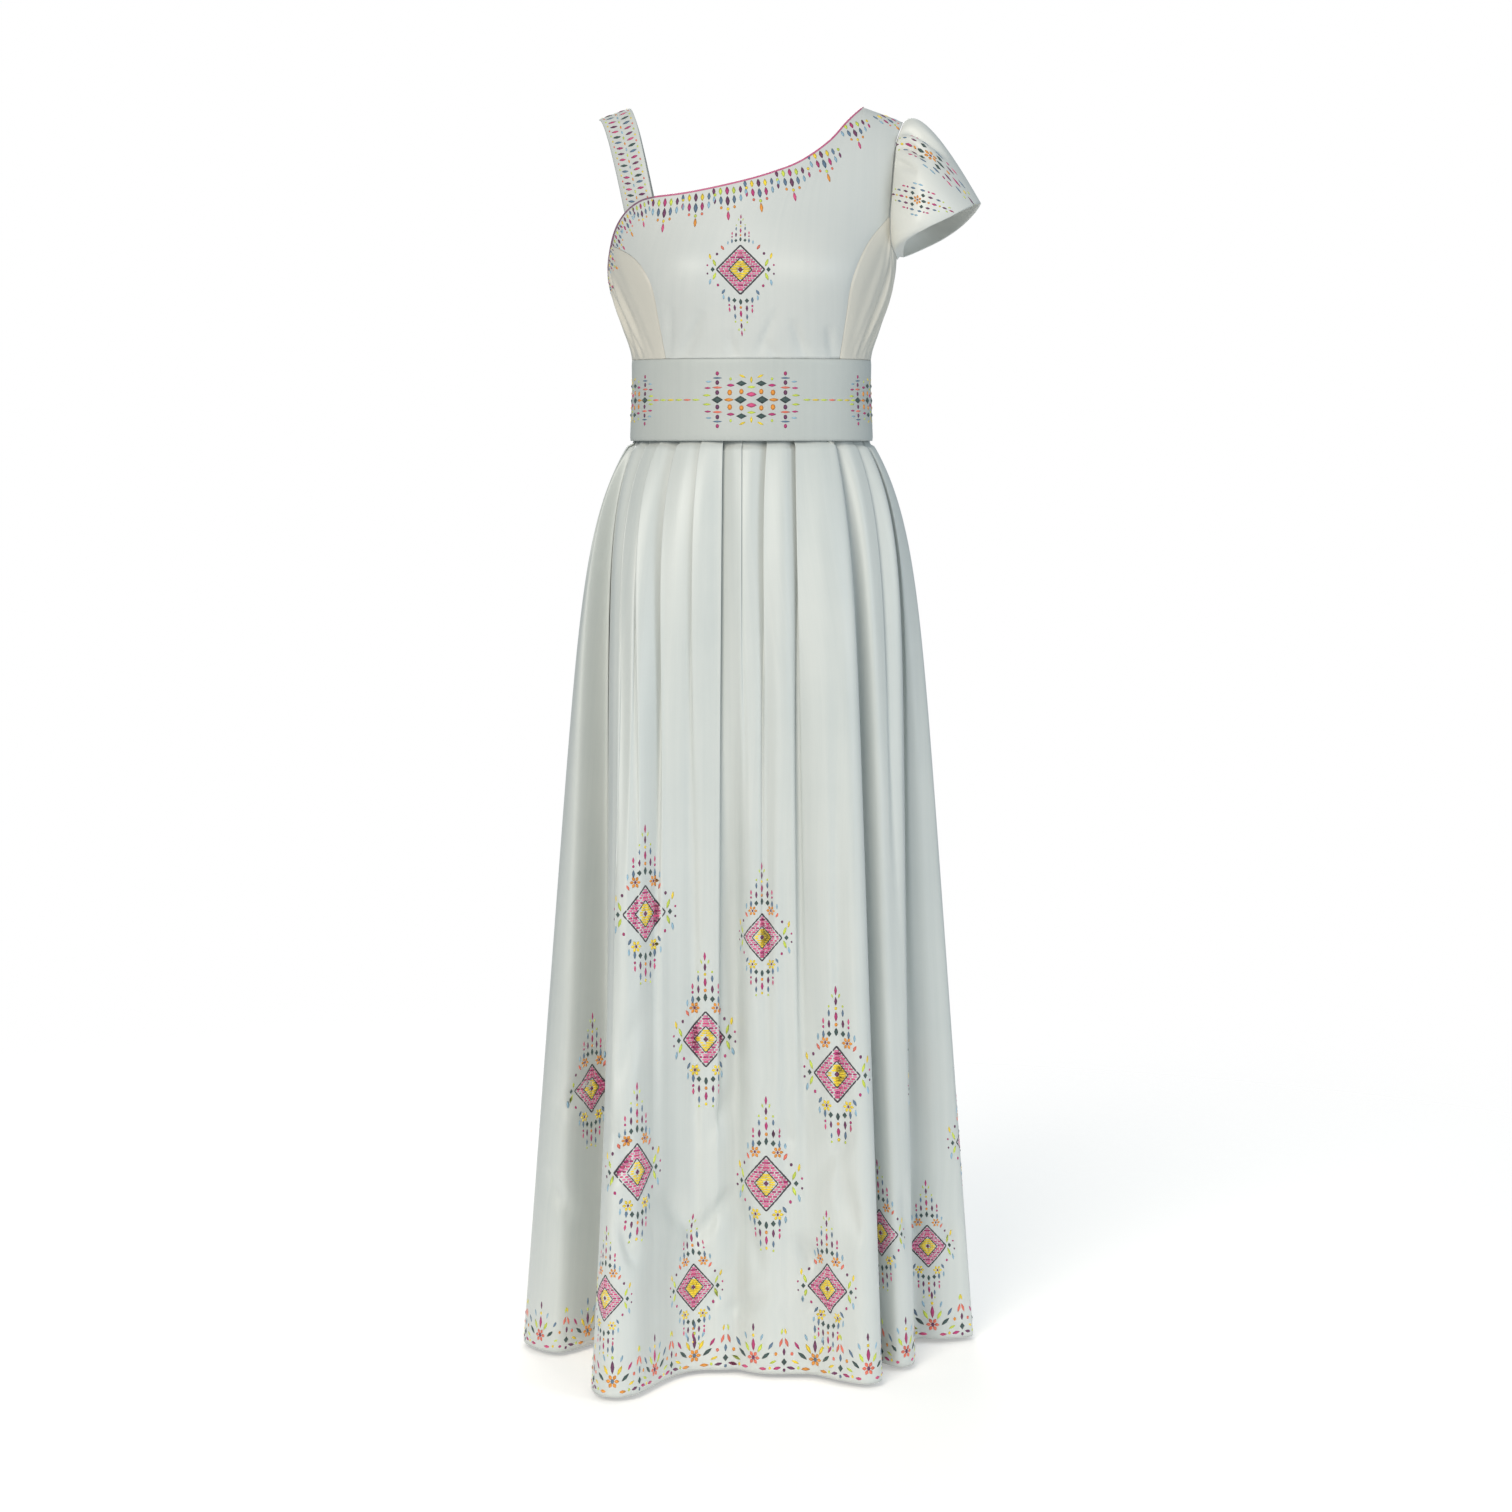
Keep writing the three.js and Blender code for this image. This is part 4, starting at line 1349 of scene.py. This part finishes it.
# %% Motifs
COMB = stitches("""
seed 0 5 9 3.6 90 bottle 0
diamond 8 3 7 4.6 90 bottle 1
seed 15 2 10 3 90 slate 1
seed 22 -1 9 2.6 90 sky 1
dot 0 13 3.6 3.6 0 orange 0
seed 0 22 11 3.2 90 magenta 0
seed 8 14 10 3 90 plum 1
dot 15 10.5 3 3 0 magenta 1
seed 15 17 8 2.4 90 rose 1
seed 8 26 9 2.6 90 slate 1
dot 0 31 3.2 3.2 0 yellow 0
seed 0 39 10 2.8 90 plum 0
dot 8 33.5 2.6 2.6 0 lime 1
seed 0 51 11 2.6 90 magenta 0
seed 4 45 6 1.8 75 lime 1
""")
SIDE_SEEDS = stitches("""
seed 29 8 11 3 70 lime 1
seed 34 16 9 2.6 80 yellow 1
seed 29 -8 11 3 110 lime 1
seed 34 -15 9 2.6 100 sky 1
diamond 31 0 6 4 90 bottle 1
dot 26 19 3.2 3.2 0 plum 1
dot 25 -19 3.2 3.2 0 magenta 1
seed 20 27 8 2.8 60 coral 1
seed 19 -27 8 2.8 120 slate 1
dot 37 5 2.4 2.4 0 magenta 1
dot 37 -5 2.4 2.4 0 plum 1
""")
PENDANT = stitches("""
seed 0 -5 8 2.8 90 magenta 0
seed 0 -14 9 3 90 plum 0
dot 0 -21 2.6 2.6 0 yellow 0
seed 0 -27 9 2.4 90 rose 0
seed 5.5 -5 7 2.6 90 lime 1
seed 5.5 -13 8 2.6 90 slate 1
dot 5.5 -19.5 2.4 2.4 0 orange 1
seed 11 -4.5 7 2.4 90 plum 1
seed 11 -12 7 2.2 90 sky 1
dot 16 -3.5 2.6 2.6 0 yellow 0
seed 16 -9 6 2 90 magenta 0
""")
HEM_UNIT = stitches("""
dot 0 15 3.6 3.6 0 plum 0
seed 0 28 13 3.4 90 magenta 0
dot 0 37 3 3 0 yellow 0
seed 0 45 9 2.4 90 plum 0
seed 7 25 11 3 62 lime 1
seed 13 18 11 3 40 bottle 1
seed 9 36 8 2.2 70 sky 1
seed 18 28 10 2.6 58 slate 1
dot 23 20 3.2 3.2 0 orange 1
seed 28 31 10 2.6 72 coral 1
seed 29 42 7 2 80 lime 1
seed 10 5 9 2.8 0 rose 1
dot 17 6 2.8 2.8 0 yellow 1
seed 24 6 9 2.8 12 magenta 1
seed 20 12 9 2.4 24 lime 1
diamond 31 12 7 4.4 90 bottle 0
seed 31 22 8 2.6 90 plum 0
dot 31 4 3 3 0 plum 0
""")
WAIST_COLUMNS = stitches("""
seed 0 6 12 4.4 0 rose 0
seed 0 14 11 2.6 0 lime 0
seed 0 22 8 2.6 90 yellow 0
diamond 12 0 14 7 0 bottle 1
dot 11 9 5 5 0 orange 1
diamond 11 18 12 5 0 bottle 1
seed 10 26 9 2.4 24 yellow 1
seed 25 0 12 3.4 0 orange 1
dot 24 8 5.4 5.4 0 orange 1
seed 23 16 10 3 0 magenta 1
dot 23 23 3 3 0 lime 1
diamond 38 0 13 6.4 0 bottle 1
dot 38 8 4.6 4.6 0 plum 1
seed 38 13.5 14 2.4 0 coral 1
dot 38 19 4.4 4.4 0 plum 1
seed 38 24 13 2 0 slate 1
dot 38 29 4 4 0 magenta 1
seed 50 5 11 2.4 0 lime 1
seed 49 13 9 2.2 0 magenta 1
seed 48 20 8 2 0 sky 1
""")
PETALS = 6
COOL = {"magenta": "plum", "plum": "slate", "orange": "coral", "slate": "magenta", "rose": "orange",
        "yellow": "lime", "lime": "yellow"}


def rosette(thread, radius=4.2):
    petal = [("seed", radius, 0, radius * 1.3, radius * 0.75, 0, thread)]
    petals = [row for k in range(PETALS) for row in moved(petal, turn=k * 360 / PETALS)]
    return petals + [("dot", 0, 0, radius * 0.7, radius * 0.7, 0, "plum")]


print("stitches in a comb:", len(COMB), "and in each unit of the hem:", len(HEM_UNIT))

# %% [markdown]
# ## The lozenge
# The large lozenge is outlined in dark thread and filled with rows of satin stitch in pinks
# round a yellow heart. A long bar would cut straight through the cloth where it bends, so each
# row and each side of the outline is made of short ones, laid end to end.

# %% Lozenge
ROW = {"step": 2.7, "wide": 2.3, "longest": 7, "from": 5.5, "to": 4, "inside": 1.8}
ROW_THREADS = ("rose", "pink", "magenta", "pink")
HEART = 0.48  # the yellow heart's share of the lozenge
OUTLINES = ((1, 6, 1.7), (HEART, 3, 1.2))  # share of the lozenge, bars on each side, their width
COMB_HEIGHT, ROSETTE_X, ROSETTE_Y, SHORT_COMB = 42, 13, 35, 34
QUARTERS = tuple(itertools.product((1, -1), repeat=2))


def lozenge(half_wide, half_high):
    """An outlined lozenge with rows of satin stitch round a yellow heart."""
    group = []
    for k, y in enumerate(np.arange(-half_high + ROW["from"], half_high - ROW["to"], ROW["step"])):
        reach = half_wide * (1 - abs(y) / half_high) - ROW["inside"]
        inner = max(0.0, HEART * (half_wide - abs(y) * half_wide / (HEART * half_high)))
        if reach - inner > 2:
            start = inner + 1 if inner else -1
            pieces = math.ceil((reach - start) / ROW["longest"])
            for sign, piece in itertools.product((-1, 1), range(pieces)):
                at = start + (reach - start) * (piece + 0.5) / pieces
                group.append(("bar", sign * at, y, (reach - start) / pieces, ROW["wide"], 0,
                              ROW_THREADS[k % 4]))
        if inner > 2.5:
            hollow = 2.2 if abs(y) < 3 else -1  # room for the diamond in the middle
            for sign in (-1, 1):
                group.append(("bar", sign * (inner + hollow) / 2, y, inner - hollow, ROW["wide"], 0,
                              "yellow"))
    group.append(("diamond", 0, 0, 6.5, 5, 90, "plum"))
    for share, pieces, wide in OUTLINES:
        a, b = half_wide * share, half_high * share
        long, turn = math.hypot(a, b) / pieces + 0.8, math.degrees(math.atan2(b, -a))
        for piece, (sx, sy) in itertools.product(range(pieces), QUARTERS):
            at = (piece + 0.5) / pieces
            group.append(("bar", sx * a * (1 - at), sy * b * at, long, wide, turn * sx * sy, "ink"))
    return group


def medallion():
    """A lozenge with rosettes and a comb above and a shorter one below."""
    group = lozenge(28, 31) + moved(SIDE_SEEDS, size=1.1)
    for sign in (-1, 1):
        group += moved(rosette("orange"), ROSETTE_X * sign, ROSETTE_Y)
        group += moved(rosette("yellow"), ROSETTE_X * sign, -ROSETTE_Y)
    short = [row for row in COMB if row[2] < SHORT_COMB]
    return group + moved(COMB, 0, COMB_HEIGHT) + moved(flipped(short), 0, -COMB_HEIGHT)


print("stitches in a medallion:", len(medallion()))

# %% [markdown]
# ## Embroidering the skirt
# The skirt's embroidery is one large lozenge after another in a staggered layout, above a border
# that goes all round the hem. It follows the gores: each motif keeps to one thread of the cloth
# and bends with it, also into the hollows between the folds. The back has the same motifs at
# even steps, so a loop places them.

# %% Skirt embroidery
SKIRT_MOTIFS = table("""
line height size
8.6 520 1
8.2 240 1
11.2 375 1
13.9 215 1
13.7 490 0.85
17.2 340 1
6.3 105 0.8
4.1 300 0.9
10.6 95 0.85
16.6 100 0.9
21.6 150 0.85
24.6 310 0.9
26.6 110 0.8
2.55 300 0.9
28.5 230 0.9
""")
BACK_MOTIFS = {"first": 34.4, "step": 3, "count": 6, "heights": (300, 210), "size": 0.9}
HEM_UNITS, HEM_SIZE = 30, 1.15
WRAP = 30  # threads repeated beyond each end of the ring, for motifs that lie across it
whole = np.concatenate([skin_points[:, -WRAP - 1:-1], skin_points, skin_points[:, 1:WRAP + 1]], axis=1)
skirt = Cloth(whole, y=heights[:, None])


def on_cloth(cloth, thread, y, group):
    """Places a group beside a thread of the cloth, at height y up it."""
    flat = outlines(group)
    places = cloth.land(flat[..., 0].ravel(), flat[..., 1].ravel() + y, lifts(group).ravel(), thread)
    return group, places.reshape(flat.shape[:2] + (3,))


places = list(zip(*SKIRT_MOTIFS.values()))
for k in range(BACK_MOTIFS["count"]):
    line = BACK_MOTIFS["first"] + k * BACK_MOTIFS["step"]
    places.append((line, BACK_MOTIFS["heights"][k % 2], BACK_MOTIFS["size"]))
motifs = [(line, height, moved(medallion(), size=size)) for line, height, size in places]
hem = skirt.x[0, WRAP:WRAP + len(ring)]
middles = mix(hem[0], hem[-1], (np.arange(HEM_UNITS) + 0.5) / HEM_UNITS)
for k, line in enumerate(np.interp(middles, hem, ring)):
    unit = HEM_UNIT + moved(rosette("rose" if k % 2 else "coral"), 0, 15)
    motifs.append((line, 0, moved(unit, size=HEM_SIZE, swap=COOL if k % 2 else ())))
gore_work = {node: [] for node in GORES}
for line, height, group in motifs:
    line += LINES if line < ring[0] else 0
    node = next(node for node, (start, end) in GORES.items() if start <= line <= end)
    thread = WRAP + np.interp(line, ring, np.arange(len(ring)))
    gore_work[node].append(on_cloth(skirt, thread, height, group))
for node, placed in gore_work.items():
    embroider(node, placed)
print("stitches on the skirt:", sum(len(group) for placed in gore_work.values() for group, _ in placed))

# %% [markdown]
# ## Embroidering the waistband, strap and sleeve
# The band has a cluster in the middle of the front, a thin line of seeds along it and half a
# cluster at each end. The strap has rungs of seeds between dots. The sleeve has three sprays,
# each two combs back to back round a rosette.

# %% Waistband, strap and sleeve embroidery
LINE = {"step": 10.5, "from_end": 50, "from_middle": 54}
ENDS = {"in": 18, "reach": 14, "size": 0.9}
cluster = WAIST_COLUMNS + flipped([row for row in WAIST_COLUMNS if row[2] > 0])
band = cloths["waistband_front"]
middle, half_band = (band.x.shape[1] - 1) / 2, float(band.x[0, -1])
seeds = np.arange(LINE["from_end"] - half_band, half_band - LINE["from_end"] + 1, LINE["step"])
line_of_seeds = [("seed", x, 0, 12, 2, 0, ("yellow", "lime", "coral", "lime")[k % 4])
                 for k, x in enumerate(seeds) if abs(x) > LINE["from_middle"]]
ends = [moved([row for row in cluster if row[1] * sign < ENDS["reach"]],
              sign * (half_band - ENDS["in"]), 0, ENDS["size"]) for sign in (-1, 1)]
placed = [on_cloth(band, middle, (BAND_HIGH - BAND_LOW) / 2, rows)
          for rows in (cluster, line_of_seeds, *ends)]
embroider("waistband_front", placed, 2)

RUNG = {"step": 7.5, "first": 6, "before_end": 5, "x": 8, "turn": 8, "dots_x": 14.6, "dots_up": 3.7}
rungs = []
strap_long = float(shoulder_strap.y[-1, 0])
for k, y in enumerate(np.arange(RUNG["first"], strap_long - RUNG["before_end"], RUNG["step"])):
    between = y + RUNG["dots_up"]
    for sign in (-1, 1):
        thread = ("plum", "magenta", "slate", "bottle", "rose")[(k + (sign > 0) * 2) % 5]
        rungs.append(("seed", sign * RUNG["x"], y, 11, 2.8, sign * RUNG["turn"], thread))
        rungs.append(("dot", sign * RUNG["dots_x"], between, 2.4, 2.4, 0,
                      ("yellow", "lime", "coral")[k % 3]))
    rungs.append(("seed", 0, between, 5, 2, 90, ("lime", "sky", "orange")[k % 3]))
embroider("shoulder_strap", [on_cloth(shoulder_strap, (shoulder_strap.x.shape[1] - 1) / 2, 0, rungs)], 3)

SLEEVE_WORK = table("""
turn down size lean
0.10 0.58 1.15 0
0.24 0.52 0.95 10
0.92 0.60 1.0 0
""")
spray = moved(flipped(COMB), 0, -4, 0.8) + moved(COMB, 0, 4, 0.8) + rosette("orange", radius=3.4)
columns, rows = cap_sleeve.x.shape[1] - 1, cap_sleeve.x.shape[0]
placed = []
for turn, down, size, lean in zip(*SLEEVE_WORK.values()):
    height = float(np.interp(down * (rows - 1), np.arange(rows), cap_sleeve.y[:, 0]))
    placed.append(on_cloth(cap_sleeve, turn * columns, height, moved(spray, size=size, turn=lean)))
embroider("cap_sleeve", placed, 4)
print("embroidered:", *embroidery)

# %% [markdown]
# ## Embroidering the bodice
# On the fitted bodice the stitches are laid out on a flat plane that touches the form, and each
# point is then brought down to the nearest point of the cloth. A tree of the panels' faces
# finds it. A border of pendants hangs from the neckline and the strap side's armhole.

# %% Bodice embroidery
depsgraph = bpy.context.evaluated_depsgraph_get()
CENTRE, UNDER_STRAP = "bodice_front_centre", "bodice_front_side_under_strap"
PLANE_ABOVE = 5
trees = {node: BVHTree.FromObject(bpy.data.objects[node + "_cloth"], depsgraph)
         for node in (CENTRE, UNDER_STRAP)}


def on_bodice(node, x, height, group):
    """Places a group on a front panel, beside the form's point at x and height."""
    middle, right, above = [skin(FRONT, on_form(np.array(x + a), np.array(height + b)))
                            for a, b in ((0, 0), (1, 0), (0, 1))]
    ahead = (right - middle) / np.linalg.norm(right - middle)
    out = np.cross(ahead, above - middle)
    out /= np.linalg.norm(out)
    up = np.cross(out, ahead)
    flat = outlines(group)
    plane = middle + flat[..., :1] * ahead + flat[..., 1:] * up + PLANE_ABOVE * out
    rise = lifts(group)
    points = np.empty_like(plane)
    for index in np.ndindex(plane.shape[:2]):
        place, normal, _, _ = trees[node].find_nearest(Vector(to_metres(plane[index])))
        points[index] = np.array(place) / MM + [0, 0, SHOULDER_TOP] + rise[index] * np.array(normal)
    return group, points


NECK = {"from": -95, "to": 168, "step": 34, "below": 1.5, "size": 1.36, "lean": 0.35}
ARMHOLE = {"shares": np.linspace(0.1, 0.86, 5), "below": 1, "lean": 0.8}
work = {CENTRE: [on_bodice(CENTRE, -12, 1226, (
    lozenge(26, 29) + moved(SIDE_SEEDS, size=0.98) + moved(COMB, 0, 33, 0.62)
    + moved(flipped(COMB), 0, -34, 0.85)))], UNDER_STRAP: []}
slopes = np.gradient(NECKLINE["height"], NECKLINE["x"])
for k, x in enumerate(np.arange(NECK["from"], NECK["to"], NECK["step"])):
    height = float(min(np.interp(x, NECKLINE["x"], NECKLINE["height"]), ridge(x))) - NECK["below"]
    lean = math.degrees(math.atan(float(np.interp(x, NECKLINE["x"], slopes))))
    pendant = moved(PENDANT, size=NECK["size"], turn=NECK["lean"] * lean, swap=COOL if k % 2 else ())
    work[CENTRE].append(on_bodice(CENTRE, x, height, pendant))
armhole = np.stack([STRAP_ARMHOLE["x"], STRAP_ARMHOLE["height"]], -1)
for k, share in enumerate(ARMHOLE["shares"]):
    x, height = along(armhole, share)
    ahead = along(armhole, share + 0.02) - along(armhole, share - 0.02)
    lean = math.degrees(math.atan2(ahead[1], ahead[0]))
    node = UNDER_STRAP if share < STRAP_PRINCESS_TOP else CENTRE
    pendant = moved(PENDANT, turn=lean * ARMHOLE["lean"], swap=COOL if k % 2 else ())
    work[node].append(on_bodice(node, float(x), float(height) - ARMHOLE["below"], pendant))
for node, placed in work.items():
    embroider(node, placed, 5)
print("pieces of embroidery:", len(embroidery))

# %% [markdown]
# ## Piping
# The neckline and the strap side's armhole are finished with a narrow piping: a bias strip of
# satin round a thin cord, in pink along the neckline and in plum round the armhole. It is a
# curve with a round bevel that runs on the cloth's edge, round the front and the back.

# %% Piping
PIPING = {"neckline": (neckline, "magenta", 1.2), "strap_armhole": (strap_armhole, "plum", 1.15)}
PIPING_POINTS = 60
PIPED_IN = -0.5  # the cord's middle lies just inside the cloth's outer face


def piping_satin(name, thread):
    recipe = Recipe(name)
    grain = recipe.node("ShaderNodeTexNoise", (), {"Scale": 900.0, "Detail": 2.0})
    shade = recipe.blend(grain * 0.25, THREADS[thread], THREADS["white"])
    return recipe.finish(Base_Color=shade, Roughness=grain * 0.2 + 0.3,
                         Normal=recipe.bump(0.2, 0.0003, grain))


piping = []
for name, (seam, thread, radius) in PIPING.items():
    share = np.linspace(0, 1, PIPING_POINTS)
    before, behind = [skin(side, seam(share), PIPED_IN) for side in (FRONT, BACK)]
    path = np.vstack([before, behind[::-1]] if name == "neckline" else [before[::-1], behind])
    curve = bpy.data.curves.new(name + "_piping", "CURVE")
    curve.dimensions, curve.bevel_depth, curve.bevel_resolution = "3D", radius * MM, 2
    curve.use_fill_caps = True
    line = curve.splines.new("POLY")
    line.points.add(len(path) - 1)
    line.points.foreach_set("co", np.column_stack([to_metres(path), np.ones(len(path))]).ravel())
    curve.materials.append(piping_satin(name + "_piping", thread))
    piping.append(add(name + "_piping", curve))
    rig.ride(piping[-1], "root")
print("piping:", len(piping))

# %% [markdown]
# ## The flat cut of each piece
# Each piece's flat size is measured on its own grid, along the threads, so a pleat counts with
# the cloth that is folded away in it. The width is at the widest row, such as a gore's hem.

# %% Flat sizes
HELD = {"bodice": "draped", "waistband": "stretched", "shoulder": "draped", "cap": "gathered",
        "skirt": "gathered"}
HUNG_FROM = {"skirt": ["waistband_front", "waistband_back"]}


def cut_size(cloth):
    """The width, length and area of a flat piece of cloth, in metres and square metres."""
    points = cloth.points
    corner = [points[:-1, :-1], points[:-1, 1:], points[1:, 1:], points[1:, :-1]]
    area = np.linalg.norm(np.cross(corner[2] - corner[0], corner[3] - corner[1]), axis=-1).sum() / 2
    width = np.ptp(cloth.x, axis=1).max()
    return width * MM, run(points, 0)[-1].max() * MM, area * MM * MM


for node, cloth in cloths.items():
    width, length, area = cut_size(cloth)
    first_word = node.split("_")[0]
    extras = [embroidery[node]] if node in embroidery else []
    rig.sheet(bpy.data.objects[node + "_cloth"], flat=(width, length), held=HELD[first_word],
             rests_on=HUNG_FROM.get(first_word, []), area=min(area, width * length),
             with_pieces=extras + (piping if node == CENTRE else []))
    print(f"{node}: {width * 1000:.0f} by {length * 1000:.0f} mm, {area:.4f} square metres")

# %% [markdown]
# ## Floor
# A pale floor just under the hem catches a soft shadow. A large matt disc thins out towards its
# rim, so that no edge of it shows against the white behind.

# %% Floor
FLOOR = {"gap": 0.006, "radius": 3, "near": 0.5, "far": 2.4, "glow": 0.3}


def pale_floor():
    """A matt floor that thins out into the white surround."""
    recipe = Recipe("pale_floor")
    recipe.finish(Base_Color=(0.96, 0.93, 0.9, 1), Roughness=0.9, Specular_IOR_Level=0.1,
                  Emission_Color=(1, 1, 1, 1), Emission_Strength=FLOOR["glow"])
    place = recipe.node("ShaderNodeTexCoord", output=3)
    far = recipe.node("ShaderNodeVectorMath", {"operation": "LENGTH"}, {0: place}, 1)
    thin = recipe.node("ShaderNodeMapRange", {"interpolation_type": "SMOOTHSTEP"},
                       {"Value": far, "From Min": FLOOR["near"], "From Max": FLOOR["far"]})
    clear = recipe.node("ShaderNodeBsdfTransparent")
    solid = Value(recipe, recipe.surface.links[0].from_socket)
    recipe.link(recipe.node("ShaderNodeMixShader", (), {0: thin, 1: solid, 2: clear}), recipe.surface)
    return recipe.material


disc = bmesh.new()
bmesh.ops.create_circle(disc, segments=64, radius=FLOOR["radius"], cap_ends=True)
floor = mesh_object("floor", disc, pale_floor())
floor.location.z = -SHOULDER_TOP * MM - FLOOR["gap"]
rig.stage(floor)
print("floor:", round(-floor.location.z, 3), "m below the shoulders")

# %% [markdown]
# ## Light
# Three large soft lights stand for a studio. The key light is near the front, a little to the
# left and slightly warm. A weaker, cooler one fills the other side, so that the two sides of
# each fold differ a little in colour, and one behind keeps the back from going dark. What comes
# from all round is weak and slightly blue, though the surround itself shows as white.

# %% Lights
LIGHTS = {
    "key": ((-1.3, -3.7, 1.2), 1.9, 118, (1.0, 0.94, 0.845)),
    "cool": ((3.2, -2.2, 0.2), 1.6, 36, (0.86, 0.94, 1.0)),
    "back": ((-0.6, 3.4, 1.4), 2.2, 60, (1.0, 0.99, 0.97)),
}
AIM = (0, 0, -0.7)
SURROUND = (((0.79, 0.92, 1, 1), 0.37), ((1, 1, 1, 1), 1.0))  # as it lights, and as it is seen

for name, (place, size, watts, colour) in LIGHTS.items():
    lamp = bpy.data.lights.new(name, "AREA")
    lamp.size, lamp.energy, lamp.color = size, watts, colour
    holder = add(name, lamp)
    holder.location = place
    holder.rotation_euler = (Vector(AIM) - Vector(place)).to_track_quat("-Z", "Y").to_euler()


class Surround(Recipe):
    """The even light from all round, dimmer than the white that shows behind the dress."""

    def __init__(self, world):
        self.start(world)
        lit, seen = [self.node("ShaderNodeBackground", (), {"Color": colour, "Strength": power})
                     for colour, power in SURROUND]
        looked_at = self.node("ShaderNodeLightPath")
        both = self.node("ShaderNodeMixShader", (), {0: looked_at, 1: lit, 2: seen})
        self.link(both, world.node_tree.nodes.new("ShaderNodeOutputWorld").inputs["Surface"])


scene = bpy.context.scene
scene.world = scene.world or bpy.data.worlds.new("studio")
Surround(scene.world)
scene.view_settings.view_transform = "Standard"
print("lights:", *LIGHTS)

# %% [markdown]
# ## Camera
# The camera stands at waist height, 3.8 m away, and looks slightly down. From so far, the hem
# bends only a little and the shoulders don't shrink.

# %% Camera
CAMERA = {"x": 0.00514, "distance": 3.8, "height": 1.040, "pitch": 5.42, "lens": 79.26, "sensor": 36}
lens = bpy.data.cameras.new("camera")
lens.lens, lens.sensor_width = CAMERA["lens"], CAMERA["sensor"]
camera = add("camera", lens)
camera.location = (CAMERA["x"], -CAMERA["distance"], CAMERA["height"] - SHOULDER_TOP * MM)
camera.rotation_euler = (math.radians(90 - CAMERA["pitch"]), 0, 0)
scene.camera = camera
print("camera:", CAMERA)

# %% Sizes and finish
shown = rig.bounds()
with open("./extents.json", "w") as out:
    json.dump({"cad": [list(corner) for corner in cad_box],
               "visual": [list(corner) for corner in shown]}, out)
print("box:", [[round(c, 3) for c in corner] for corner in shown])
